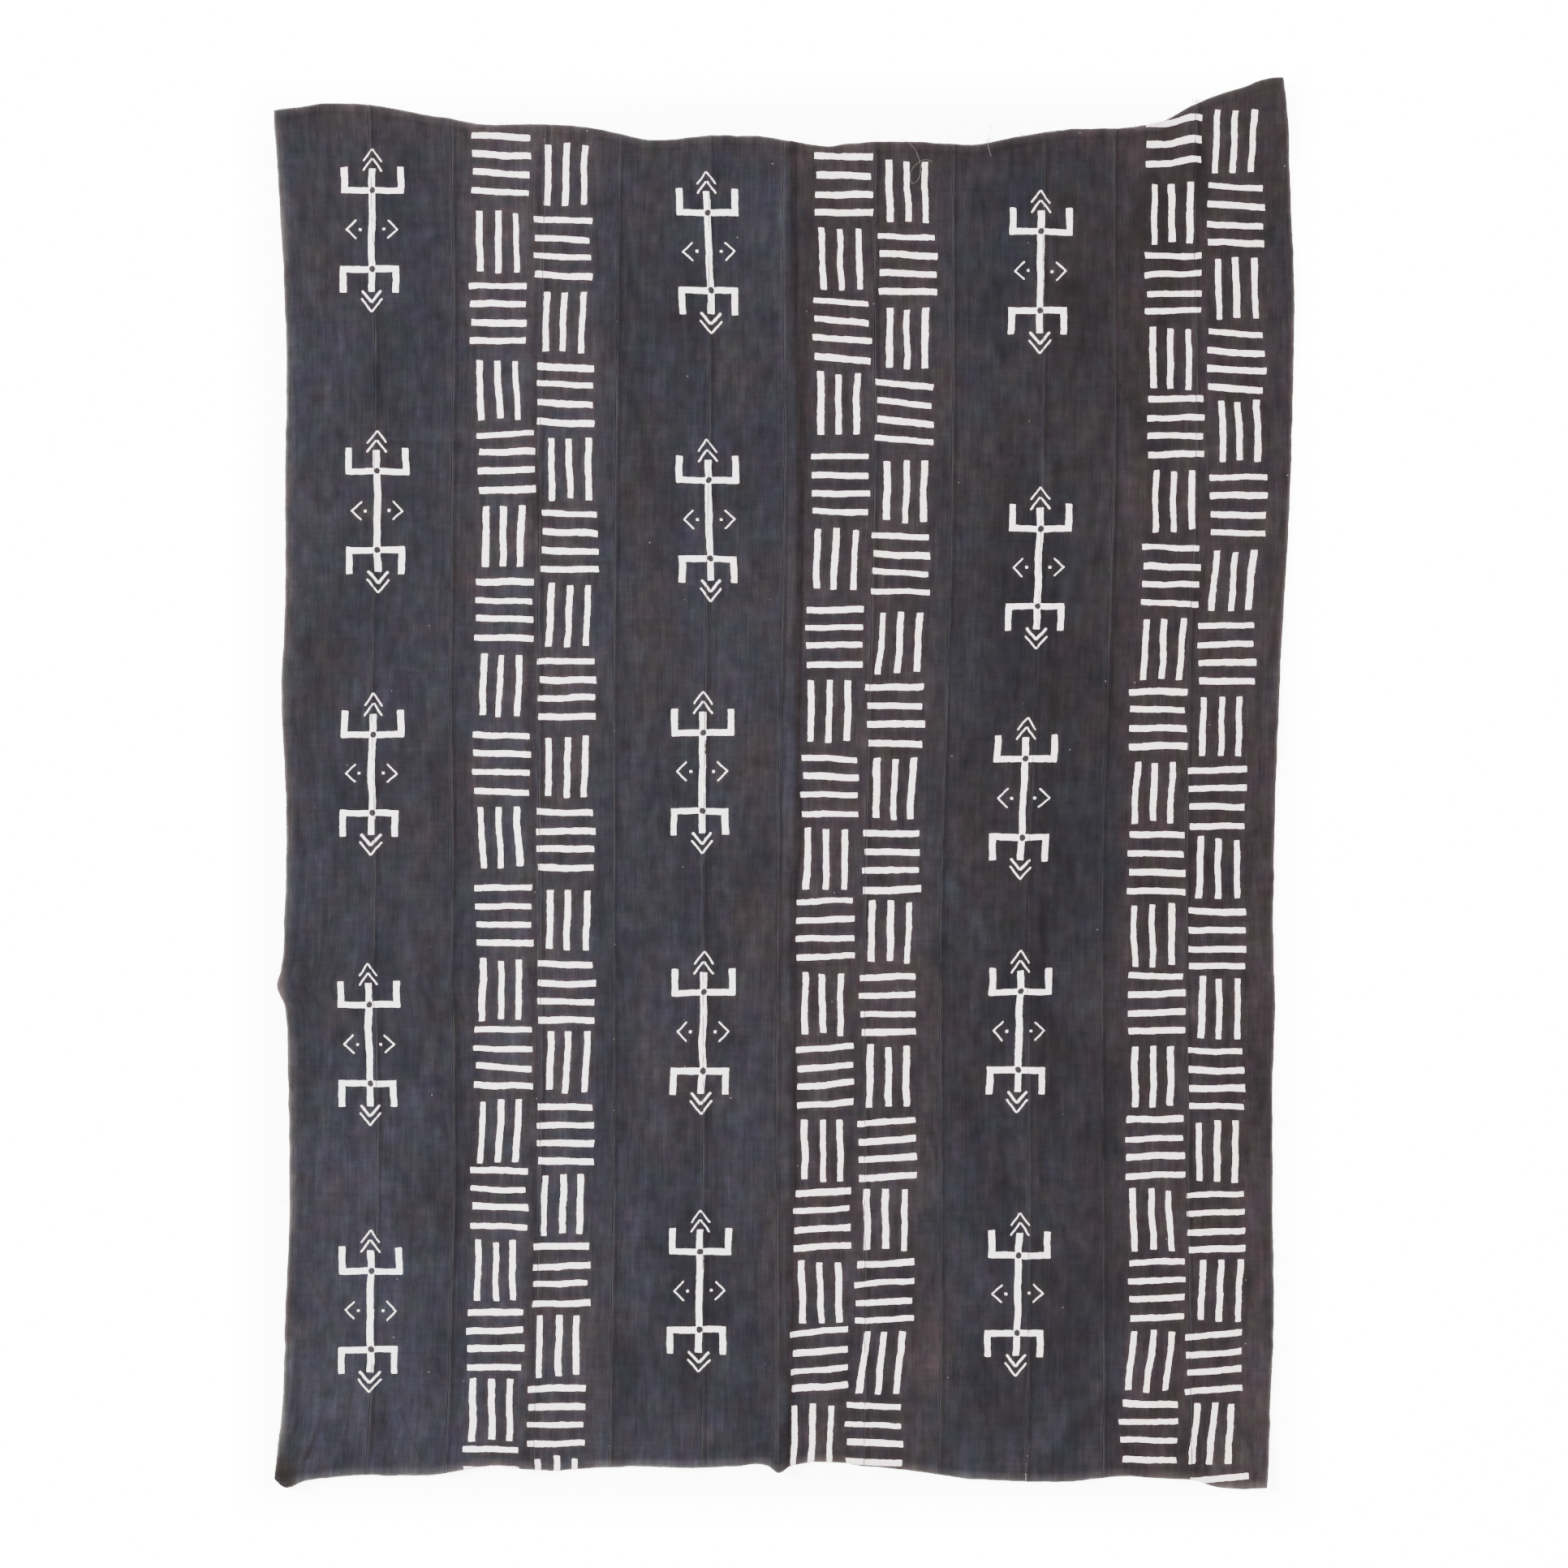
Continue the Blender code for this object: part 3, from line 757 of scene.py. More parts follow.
@dataclass(frozen=True)
class BakeSheet:
    """How a strip is cut up to fill a square picture evenly."""

    side: float = 0.476
    columns: int = 4
    column_step: float = 0.1165
    margin: float = 0.0035
    length: float = 1.6
    back_scale: float = 0.34
    back_rows: int = 2
    back_row_step: float = 0.0385
    side_room: float = 0.002
    foot: float = 0.795

    def spread(
        self, across: Values, along: Values, back: np.ndarray
    ) -> Values:
        """Place of every face corner in the square.

        Args:
            across: distance of each corner from the strip's left edge.
            along: distance of each corner above the lowest point of the cloth.
            back: whether each face is on the back.

        Returns:
            Two coordinates between 0 and 1 for each corner.
        """
        run = self.length / self.columns
        column = np.clip(np.floor(along.mean(axis=1) / run), 0, self.columns - 1)[:, None]
        front_x = self.margin + column * self.column_step + across
        front_y = self.margin + along - column * run
        back_run = self.length / self.back_rows
        row = np.clip(np.floor(along.mean(axis=1) / back_run), 0, self.back_rows - 1)
        row = row[:, None]
        back_x = self.margin + self.back_scale * (along - row * back_run)
        base = 2 * self.margin + run
        back_y = base + self.margin + row * self.back_row_step + self.back_scale * across
        chosen = back[:, None]
        place_x = np.where(chosen, back_x, front_x)
        place_y = np.where(chosen, back_y, front_y)
        return np.stack((place_x, place_y), axis=-1) / self.side


@dataclass(frozen=True)
class DyeWear:
    """Where the dye is browner, rubbed lighter or left darker."""

    cloth: LyingCloth
    # Rubbed sides (top, bottom, left, right): strength of the sharp line, strength
    # and reach of the soft band
    rubbed_sides: Rows = (
        (0.95, 0.12, 0.012), (1.0, 0.34, 0.013), (1.0, 0.34, 0.0125), (1.25, 0.34, 0.006),
    )
    sharp_reach: float = 0.0031
    rim_cell: float = 0.013
    # Warmth beside the sides (top, bottom, left, right): strength and reach
    warm_sides: Rows = ((1.0, 0.045), (0.5, 0.012), (0.8, 0.012), (0.9, 0.024))
    warm_side: float = 0.45
    # Spots at the corners: middle across, middle along, reach across, reach along
    speckled_corner: Row = (-0.564, -0.776, 0.026, 0.026)
    warm_corners: Rows = ((-0.566, -0.775, 0.05, 0.05), (0.52, 0.76, 0.16, 0.16))
    dark_corner: Row = (-0.566, -0.78, 0.034, 0.034)
    speck_cell: float = 0.0022
    speck_share: float = 0.66
    speck_depth: float = 0.85
    warm_left: float = 0.22
    warm_rise: float = 0.24
    warm_corner: float = 0.35
    warm_patches: float = 0.45
    warm_patch_cell: tuple[float, float] = (0.05, 0.12)
    zone_wander: float = 0.03
    zone_wander_cell: tuple[float, float] = (0.05, 0.06)
    zone_soft: float = 0.012
    crease_brown: float = 1.5
    crease_brown_place: float = 0.0045
    stain_cell: float = 0.02
    fade_right: float = 0.1
    dark_corner_depth: float = 0.45
    # Lighter and darker bands along an edge: strength, distance from the edge, reach
    left_band: Row = (0.14, 0.0, 0.02)
    top_band: Row = (0.05, -0.005, 0.006)
    top_line: Row = (-0.3, -0.0115, 0.0022)
    bottom_bands: Rows = ((0.14, 0.004, 0.005), (-0.26, 0.0095, 0.002))
    # From here on to the right the line below the top hem is lost
    top_line_end: float = 0.47
    top_line_fade: float = 0.04
    top_line_least: float = 0.15
    # Uneven dye: strength, cell across, cell along
    broad_patches: Row = (0.34, 0.035, 0.11)
    small_patches: Row = (0.22, 0.012, 0.05)
    rougher_foot: float = 0.6
    rougher_length: float = 0.4

    def sides(self, across: Values, along: Values, line: Callable) -> list[Values]:
        """Signed distances from the top, bottom, left and right side.

        Args:
            across: places across the cloth.
            along: places along the cloth.
            line: the cloth's way to read its left and right side.

        Returns:
            Four sets of distances.
        """
        hems = [along - self.cloth.hem(across, column) for column in (1, 2)]
        return hems + [across - line(number, along) for number in (0, STRIP_COUNT)]

    def zone(self, away: Values) -> Values:
        """1 inside a zone, 0 outside it, from the distance beyond its edge."""
        return 1 - np.clip((away + self.zone_soft) / (2 * self.zone_soft), 0.0, 1.0)

    def rim(self, across: Values, along: Values) -> Values:
        """How far the dye is rubbed off beside the outer edges of the cloth.

        Args:
            across: places across the cloth.
            along: places along the cloth.

        Returns:
            A share between 0 and 1.
        """
        rim = np.zeros_like(across)
        sides = self.sides(across, along, self.cloth.edge)
        for distance, (sharp, wide, reach) in zip(sides, self.rubbed_sides):
            rubbed = sharp * bell(distance, self.sharp_reach) + wide * bell(distance, reach)
            rim = np.maximum(rim, rubbed)
        for row in RIM_SPOTS:
            rim = rim + row[4] * bell(spot_distance(across, along, row), 1.0)
        cell = self.rim_cell
        uneven = 0.55 + 0.9 * drift(Sheet.RIM_PATCHES, across / cell, along / cell)
        corner = bell(spot_distance(across, along, self.speckled_corner), 1.0)
        cell = self.speck_cell
        specks = drift(Sheet.RIM_SPECKS, across / cell, along / cell) < self.speck_share
        return np.clip(rim * uneven * (1 - self.speck_depth * corner * specks), 0.0, 1.0)

    def warmth(self, across: Values, along: Values) -> Values:
        """How brown the dye looks, stronger to the right, at bars and at the rim.

        Args:
            across: places across the cloth.
            along: places along the cloth.

        Returns:
            A share between 0 and 1.
        """
        warm = self.warm_left + self.warm_rise * np.clip((across + 0.45) / 0.95, 0.0, 1.0)
        cell_x, cell_y = self.zone_wander_cell
        wander = drift(Sheet.ZONE_WANDER, across / cell_x, along / cell_y) - 0.5
        for middle, reach, amount, _ in BAR_ZONES:
            away = np.abs(across - middle + self.zone_wander * wander) - reach
            warm = warm + amount * self.zone(away)
        rim = np.zeros_like(across)
        sides = self.sides(across, along, self.cloth.join)
        for distance, (amount, reach) in zip(sides, self.warm_sides):
            rim = np.maximum(rim, amount * bell(distance, reach))
        warm = warm + self.warm_side * rim
        place = self.crease_brown_place
        for row in JOIN_CREASES:
            away = self.cloth.crease_away(row, across, along)
            brown = self.crease_brown * row[8] * self.cloth.crease_fade(row, along)
            warm = warm + brown * bell(away - place, place)
        edges = 0.75 + 0.5 * drift(
            Sheet.STAIN_EDGES, across / self.stain_cell, along / self.stain_cell
        )
        for row in STAINS:
            warm = warm + row[4] * bell(spot_distance(across, along, row) * edges, 1.0)
        for row in self.warm_corners:
            warm = warm + self.warm_corner * bell(spot_distance(across, along, row), 1.0)
        cell_x, cell_y = self.warm_patch_cell
        patches = drift(Sheet.WARM_PATCHES, across / cell_x, along / cell_y) - 0.5
        return np.clip(warm + self.warm_patches * patches, 0.0, 1.0)

    def fade(self, across: Values, along: Values) -> Values:
        """How far the dye is rubbed lighter (above 0.5) or left darker (below 0.5).

        Args:
            across: places across the cloth.
            along: places along the cloth.

        Returns:
            A share between 0 and 1.
        """

        def band(distance: Values, row: Row) -> Values:
            """One band along an edge."""
            return row[0] * bell(distance - row[1], row[2])

        fade = 0.5 - self.fade_right * np.clip((across + 0.3) / 0.8, 0.0, 1.0)
        for middle, reach, _, light in BAR_ZONES:
            fade = fade + light * self.zone(np.abs(across - middle) - reach)
        for row in STAINS:
            fade = fade + row[5] * bell(spot_distance(across, along, row), 1.0)
        corner = bell(spot_distance(across, along, self.dark_corner), 1.0)
        fade = fade - self.dark_corner_depth * corner
        top, bottom, left, _ = self.sides(across, along, self.cloth.join)
        kept = (self.top_line_end - across) / self.top_line_fade
        kept = np.clip(kept, self.top_line_least, 1.0)
        fade = fade + band(left, self.left_band) + band(top, self.top_band)
        fade = fade + kept * band(top, self.top_line)
        fade = fade + sum(band(bottom, row) for row in self.bottom_bands)
        rough = 1 + self.rougher_foot * np.clip(-along / self.rougher_length, 0.0, 1.0)
        for sheet, (amount, cell_x, cell_y) in (
            (Sheet.BROAD_FADE, self.broad_patches), (Sheet.SMALL_FADE, self.small_patches),
        ):
            patches = drift(sheet, across / cell_x, along / cell_y) - 0.5
            fade = fade + rough * amount * patches
        return np.clip(fade, 0.0, 1.0)


@dataclass(frozen=True)
class WovenStrip:
    """One woven strip as a fine closed sheet with its painted marks."""

    number: int
    cloth: LyingCloth
    wear: DyeWear
    marks: MarkLayout
    bake: BakeSheet
    rows: int = 440
    middle_columns: int = 22
    edge_stops: Row = (0.0, 0.0004, 0.0011, 0.002, 0.0031, 0.0046)
    hem_stops: Row = (0.0, 0.0005, 0.0013, 0.0024, 0.0038)
    settling_rounds: int = 4
    thin_edge: float = 0.25
    selvedge_round: float = 0.0006
    rim_round: float = 0.0016
    selvedge_rise: float = 0.00075
    selvedge_top: float = 0.0011
    selvedge_reach: float = 0.0034
    selvedge_cell: float = 0.031
    # Rise at the outer edges: share, distance from the edge, reach
    left_roll: tuple[float, float, float] = (0.45, 0.003, 0.006)
    right_roll: tuple[float, float, float] = (0.6, 0.003, 0.0046)
    hem_rise: float = 0.001
    hem_depth: float = 0.0105
    hem_slope: float = 0.003
    hem_cell: float = 0.03
    hem_cells_along: float = 3.0
    hem_cells_apart: float = 9.0
    weave_apart: float = 0.2

    def column_shares(self) -> Values:
        """Places of the grid lines across the strip, closer beside its edges."""
        width = STRIP_WIDTHS[self.number - 1]
        near = np.array(self.edge_stops) / width
        middle = np.linspace(near[-1], 1 - near[-1], self.middle_columns + 2)[1:-1]
        return np.concatenate((near, middle, 1 - near[::-1]))

    def row_shares(self) -> Values:
        """Places of the grid lines along the strip, closer beside its hems."""
        near = np.array(self.hem_stops) / WOVEN_LENGTH
        middle = np.linspace(near[-1], 1 - near[-1], self.rows + 2)[1:-1]
        return np.concatenate((near, middle, 1 - near[::-1]))

    def floor_plan(self) -> tuple[Values, Values, Values, Values]:
        """Places of the grid on the floor plan.

        Returns:
            Places across and along the cloth, and distances from the left and
            right edges of the strip.
        """
        share_x, share_y = np.meshgrid(self.column_shares(), self.row_shares())
        bottom = self.cloth.hem(np.zeros_like(share_x), 2)
        top = self.cloth.hem(np.zeros_like(share_x), 1)
        along = bottom + (top - bottom) * share_y
        across = np.zeros_like(along)
        left = np.zeros_like(along)
        right = np.zeros_like(along)
        for _ in range(self.settling_rounds):
            left = self.cloth.edge(self.number - 1, along)
            right = self.cloth.edge(self.number, along)
            across = left + (right - left) * share_x
            bottom = self.cloth.hem(across, 2)
            top = self.cloth.hem(across, 1)
            along = bottom + (top - bottom) * share_y
        return across, along, across - left, right - across

    def profile(
        self, along: Values, from_left: Values, from_right: np.ndarray
    ) -> tuple[Values, Values]:
        """Thickness and added rise of the sheet near its edges.

        Args:
            along: places along the cloth.
            from_left: distances from the strip's left edge.
            from_right: distances from the strip's right edge.

        Returns:
            The thickness, and how far the sheet is lifted besides its folds.
        """
        share = self.row_shares()[:, None] * np.ones_like(along)
        from_hem = np.minimum(share, 1 - share) * WOVEN_LENGTH
        thickness = np.full_like(along, self.cloth.thickness)
        first, last = self.number == 1, self.number == STRIP_COUNT
        for distance, outer in ((from_left, first), (from_right, last), (from_hem, True)):
            reach = self.rim_round if outer else self.selvedge_round
            inside = np.clip(1 - distance / reach, 0.0, 1.0)
            rounded = np.sqrt(1 - inside * inside)
            thickness = thickness * (self.thin_edge + (1 - self.thin_edge) * rounded)
        cells = along / self.selvedge_cell
        uneven_left = 0.45 + 1.1 * drift(Sheet.LEFT_SELVEDGE + self.number, cells, 0.5)
        uneven_right = 0.45 + 1.1 * drift(Sheet.RIGHT_SELVEDGE + self.number, cells, 0.5)
        left_top = bell(from_left - self.selvedge_top, self.selvedge_reach)
        right_top = bell(from_right + self.selvedge_top, self.selvedge_reach)
        if first:
            amount, place, reach = self.left_roll
            left_top = amount * bell(from_left - place, reach)
        if last:
            amount, place, reach = self.right_roll
            right_top = amount * bell(from_right - place, reach)
        rise = self.selvedge_rise * (uneven_left * left_top + uneven_right * right_top)
        cells = from_left / self.hem_cell + self.hem_cells_apart * self.number
        roll = 0.55 + 0.9 * drift(Sheet.HEM_ROLL, cells, share * self.hem_cells_along)
        inside = np.clip((self.hem_depth - from_hem) / self.hem_slope, 0.0, 1.0)
        rise += self.hem_rise * roll * ease(inside)
        near_join = bell(from_left, self.cloth.pucker_reach) * (0 if first else 1)
        near_join = near_join + bell(from_right, self.cloth.pucker_reach) * (0 if last else 1)
        cell_x, cell_y = self.cloth.pucker_cell
        pucker = drift(Sheet.PUCKER, from_left / cell_x + self.number, along / cell_y)
        rise += self.cloth.pucker_height * near_join * pucker
        return thickness, rise

    def faces(self, count_x: int, count_y: int) -> tuple[Values, Values]:
        """Corner numbers of every face of the closed sheet.

        Args:
            count_x: grid lines across.
            count_y: grid lines along.

        Returns:
            Four corners for each face, and 0 for front, 1 for back, 2 for a side wall.
        """
        index = np.arange(count_x * count_y).reshape(count_y, count_x)
        back = index + count_x * count_y
        front_faces = np.stack(
            (index[:-1, :-1], index[:-1, 1:], index[1:, 1:], index[1:, :-1]), axis=-1
        ).reshape(-1, 4)
        back_faces = np.stack(
            (back[:-1, :-1], back[1:, :-1], back[1:, 1:], back[:-1, 1:]), axis=-1
        ).reshape(-1, 4)
        rims = (index[0, :], index[:, -1], index[-1, ::-1], index[::-1, 0])
        walls = []
        for rim in rims:
            lower = rim + count_x * count_y
            walls.append(np.stack((lower[:-1], lower[1:], rim[1:], rim[:-1]), axis=-1))
        wall_faces = np.concatenate(walls)
        kinds = np.concatenate(
            (
                np.zeros(len(front_faces), int),
                np.ones(len(back_faces), int),
                np.full(len(wall_faces), 2),
            )
        )
        return np.concatenate((front_faces, back_faces, wall_faces)), kinds

    def build(self, material: bpy.types.Material) -> bpy.types.Object:
        """Make the strip.

        Args:
            material: finish of the strip.

        Returns:
            The finished piece.
        """
        across, along, from_left, from_right = self.floor_plan()
        thickness, rise = self.profile(along, from_left, from_right)
        outward = self.cloth.outward(across, along)
        base = self.cloth.height(across, along) + rise
        back = np.stack((across, along, base), axis=-1)
        front = back + outward * thickness[..., None]
        points = np.concatenate((front.reshape(-1, 3), back.reshape(-1, 3)))
        count_y, count_x = across.shape
        faces, kinds = self.faces(count_x, count_y)
        name = "woven_strip_%02d" % self.number
        mesh = bpy.data.meshes.new(name)
        mesh.from_pydata(points.tolist(), [], faces.tolist())
        mesh.shade_smooth()
        flat = [np.tile(value.ravel(), 2) for value in (across, along, from_left, from_right)]
        corner = [value[faces] for value in flat]
        lower = np.repeat((0.0, 1.0), across.size)[faces]
        self.add_maps(mesh, corner, lower, kinds)
        values = {
            "warmth": self.wear.warmth(across, along),
            "fade": self.wear.fade(across, along),
            # The crease values are painted highlight and painted shade beside the creases
            "crease": self.cloth.crease_shade(across, along),
            "rim": self.wear.rim(across, along),
        }
        for label, value in values.items():
            layer = mesh.attributes.new(label, "FLOAT", "POINT")
            layer.data.foreach_set("value", np.tile(value.ravel(), 2).astype(np.float32))
        reverse = mesh.attributes.new("reverse", "FLOAT", "POINT")
        reverse.data.foreach_set("value", np.repeat((0.0, 1.0), across.size).astype(np.float32))
        mesh.materials.append(material)
        mesh.validate()
        return new_object(name, mesh)

    def add_maps(
        self,
        mesh: bpy.types.Mesh,
        corner: list[Values],
        lower: Values,
        kinds: Values,
    ) -> None:
        """Give the mesh its maps for the weave, the marks, the selvedges and the bake.

        Args:
            mesh: mesh of the strip.
            corner: for every face corner, the place across and along the cloth and
                the distances from the left and right edges.
            lower: 1 for every corner on the back face, 0 on the front.
            kinds: 0, 1 or 2 for every face: front, back or side wall.
        """
        across, along, from_left, from_right = corner
        wall = (kinds == 2)[:, None]
        drop = np.where(wall, lower * self.cloth.thickness, 0.0)
        width = from_left + from_right
        outward = np.where(from_left < 0.5 * width, -drop, drop)
        bake_x = from_left + outward + self.bake.side_room
        bake_y = along + self.bake.foot
        weave_x = from_left + outward + self.weave_apart * self.number
        maps = {
            "OFBake": self.bake.spread(bake_x, bake_y, kinds == 1),
            "weave": np.stack((weave_x, along), axis=-1),
            "marks": self.marks.places(self.number, across, along, kinds != 1),
            "selvedge": np.stack((from_left, from_right), axis=-1),
        }
        for label, value in maps.items():
            layer = mesh.uv_layers.new(name=label)
            layer.data.foreach_set("uv", value.reshape(-1).astype(np.float32))
        mesh.uv_layers.active = mesh.uv_layers["OFBake"]


class NodeMaker:
    """Adds nodes to one tree and joins them."""

    def __init__(self, tree: Tree) -> None:
        """Keep the tree."""
        self.tree = tree

    def add(self, kind: str, **settings: object) -> bpy.types.Node:
        """A new node with its settings."""
        node = self.tree.nodes.new(kind)
        for label, value in settings.items():
            setattr(node, label, value)
        return node

    def feed(self, socket: bpy.types.NodeSocket, value: object) -> None:
        """Give a socket a value, or join another socket to it."""
        if isinstance(value, bpy.types.NodeSocket):
            self.tree.links.new(value, socket)
        else:
            socket.default_value = value

    def math(self, operation: str, *values: object, clamp: bool = False) -> Socket:
        """Result of a Math node."""
        node = self.add("ShaderNodeMath", operation=operation, use_clamp=clamp)
        for socket, value in zip(node.inputs, values):
            self.feed(socket, value)
        return node.outputs[0]

    def plus(self, first: object, second: object) -> Socket:
        """The sum of two numbers."""
        return self.math("ADD", first, second)

    def minus(self, first: object, second: object) -> Socket:
        """One number less another."""
        return self.math("SUBTRACT", first, second)

    def times(self, first: object, second: object) -> Socket:
        """The product of two numbers."""
        return self.math("MULTIPLY", first, second)

    def line(self, value: object, slope: object, start: object, clamp: bool = False) -> Socket:
        """A number times a slope, on top of a start."""
        return self.math("MULTIPLY_ADD", value, slope, start, clamp=clamp)

    def unsigned(self, value: object) -> Socket:
        """A number without its sign."""
        return self.math("ABSOLUTE", value)

    def vector(self, operation: str, *values: object, output: str = "Vector") -> Socket:
        """Add a Vector Math node.

        Args:
            operation: what it does.
            values: its inputs; a Scale's second one is its factor.
            output: which output to give back.

        Returns:
            The output.
        """
        node = self.add("ShaderNodeVectorMath", operation=operation)
        if operation == "SCALE":
            self.feed(node.inputs[0], values[0])
            self.feed(node.inputs["Scale"], values[1])
        else:
            for socket, value in zip(node.inputs, values):
                self.feed(socket, value)
        return node.outputs[output]

    def stretch(self, place: object, scale: Row) -> Socket:
        """A place with a scale of its own each way."""
        return self.vector("MULTIPLY", place, scale)

    def shift(self, place: object, step: Row) -> Socket:
        """A place moved by a step."""
        return self.vector("ADD", place, step)

    def combine(self, first: object, second: object, third: object = 0.0) -> Socket:
        """A vector from three numbers."""
        node = self.add("ShaderNodeCombineXYZ")
        for socket, value in zip(node.inputs, (first, second, third)):
            self.feed(socket, value)
        return node.outputs[0]

    def split(self, vector: object) -> bpy.types.NodeOutputs:
        """The three numbers of a vector."""
        node = self.add("ShaderNodeSeparateXYZ")
        self.feed(node.inputs[0], vector)
        return node.outputs

    def mix(
        self, factor: object, first: object, second: object, blend: str = "MIX"
    ) -> Socket:
        """A mix of two colours."""
        node = self.add("ShaderNodeMix", data_type="RGBA", blend_type=blend)
        self.feed(node.inputs[0], factor)
        self.feed(node.inputs[6], first)
        self.feed(node.inputs[7], second)
        return node.outputs[2]

    def blend(self, factor: object, first: object, second: object) -> Socket:
        """A mix of two numbers."""
        node = self.add("ShaderNodeMix", data_type="FLOAT")
        self.feed(node.inputs[0], factor)
        self.feed(node.inputs[2], first)
        self.feed(node.inputs[3], second)
        return node.outputs[0]

    def noise(
        self, place: object, scale: float, detail: float = 2.0, rough: float = 0.5
    ) -> Socket:
        """The value of a Noise texture.

        Args:
            place: where to read it.
            scale: cells a metre.
            detail: finer layers.
            rough: how strong those are.

        Returns:
            The value.
        """
        node = self.add("ShaderNodeTexNoise")
        self.feed(node.inputs["Vector"], place)
        self.feed(node.inputs["Scale"], scale)
        self.feed(node.inputs["Detail"], detail)
        self.feed(node.inputs["Roughness"], rough)
        return node.outputs[0]

    def noise_vector(self, place: object, scale: float, detail: float = 1.0) -> Socket:
        """The colour of a Noise texture, as a vector around zero."""
        node = self.add("ShaderNodeTexNoise")
        self.feed(node.inputs["Vector"], place)
        self.feed(node.inputs["Scale"], scale)
        self.feed(node.inputs["Detail"], detail)
        return self.vector("SUBTRACT", node.outputs[1], (0.5, 0.5, 0.5))

    def chance(self, place: object) -> Socket:
        """Random colour of a White Noise texture, as a vector around zero."""
        node = self.add("ShaderNodeTexWhiteNoise", noise_dimensions="3D")
        self.feed(node.inputs["Vector"], place)
        return self.vector("SUBTRACT", node.outputs["Color"], (0.5, 0.5, 0.5))

    def ramp(
        self, value: object, low: float, high: float, start: float = 0.0, end: float = 1.0
    ) -> Socket:
        """A smooth step.

        Args:
            value: what it follows.
            low: value at which it starts.
            high: value at which it ends.
            start: result at its start.
            end: result at its end.

        Returns:
            The result.
        """
        node = self.add("ShaderNodeMapRange", interpolation_type="SMOOTHSTEP")
        for socket, item in zip(node.inputs, (value, low, high, start, end)):
            self.feed(socket, item)
        return node.outputs[0]

    def map(self, label: str) -> Socket:
        """A UV map of the piece."""
        return self.add("ShaderNodeUVMap", uv_map=label).outputs[0]

    def attribute(self, label: str) -> Socket:
        """A number kept on the piece."""
        return self.add("ShaderNodeAttribute", attribute_name=label).outputs["Fac"]

    def use(self, group: Tree, **values: object) -> bpy.types.NodeOutputs:
        """Place a node group.

        Args:
            group: the group.
            values: its inputs by name, with underlines for spaces.

        Returns:
            Its outputs.
        """
        node = self.add("ShaderNodeGroup", node_tree=group)
        for label, value in values.items():
            self.feed(node.inputs[label.replace("_", " ")], value)
        return node.outputs


SOCKET_KINDS = {
    "Place": "Vector", "Start": "Vector", "End": "Vector", "Color": "Color", "Ground": "Color",
}


def new_group(name: str, inputs: Sequence[str], outputs: Sequence[str]) -> tuple:
    """A shader node group with named sockets, floats unless SOCKET_KINDS says otherwise.

    Args:
        name: name of the group.
        inputs: names of its inputs.
        outputs: names of its outputs.

    Returns:
        The maker of its nodes, the inputs to read, and the outputs to feed.
    """
    tree = bpy.data.node_groups.new(name, "ShaderNodeTree")
    for side, labels in (("INPUT", inputs), ("OUTPUT", outputs)):
        for label in labels:
            kind = "NodeSocket" + SOCKET_KINDS.get(label, "Float")
            tree.interface.new_socket(label, in_out=side, socket_type=kind)
    net = NodeMaker(tree)
    source = net.add("NodeGroupInput").outputs
    return net, source, net.add("NodeGroupOutput").inputs


def new_material(name: str) -> tuple[bpy.types.Material, NodeMaker, bpy.types.NodeInputs]:
    """A new material, the maker for its nodes, and the inputs of its Principled BSDF."""
    material = bpy.data.materials.new(name)
    material.use_nodes = True
    tree = material.node_tree
    return material, NodeMaker(tree), tree.nodes["Principled BSDF"].inputs


def new_object(name: str, data: bpy.types.ID) -> bpy.types.Object:
    """A new object, placed in the scene."""
    item = bpy.data.objects.new(name, data)
    bpy.context.scene.collection.objects.link(item)
    return item


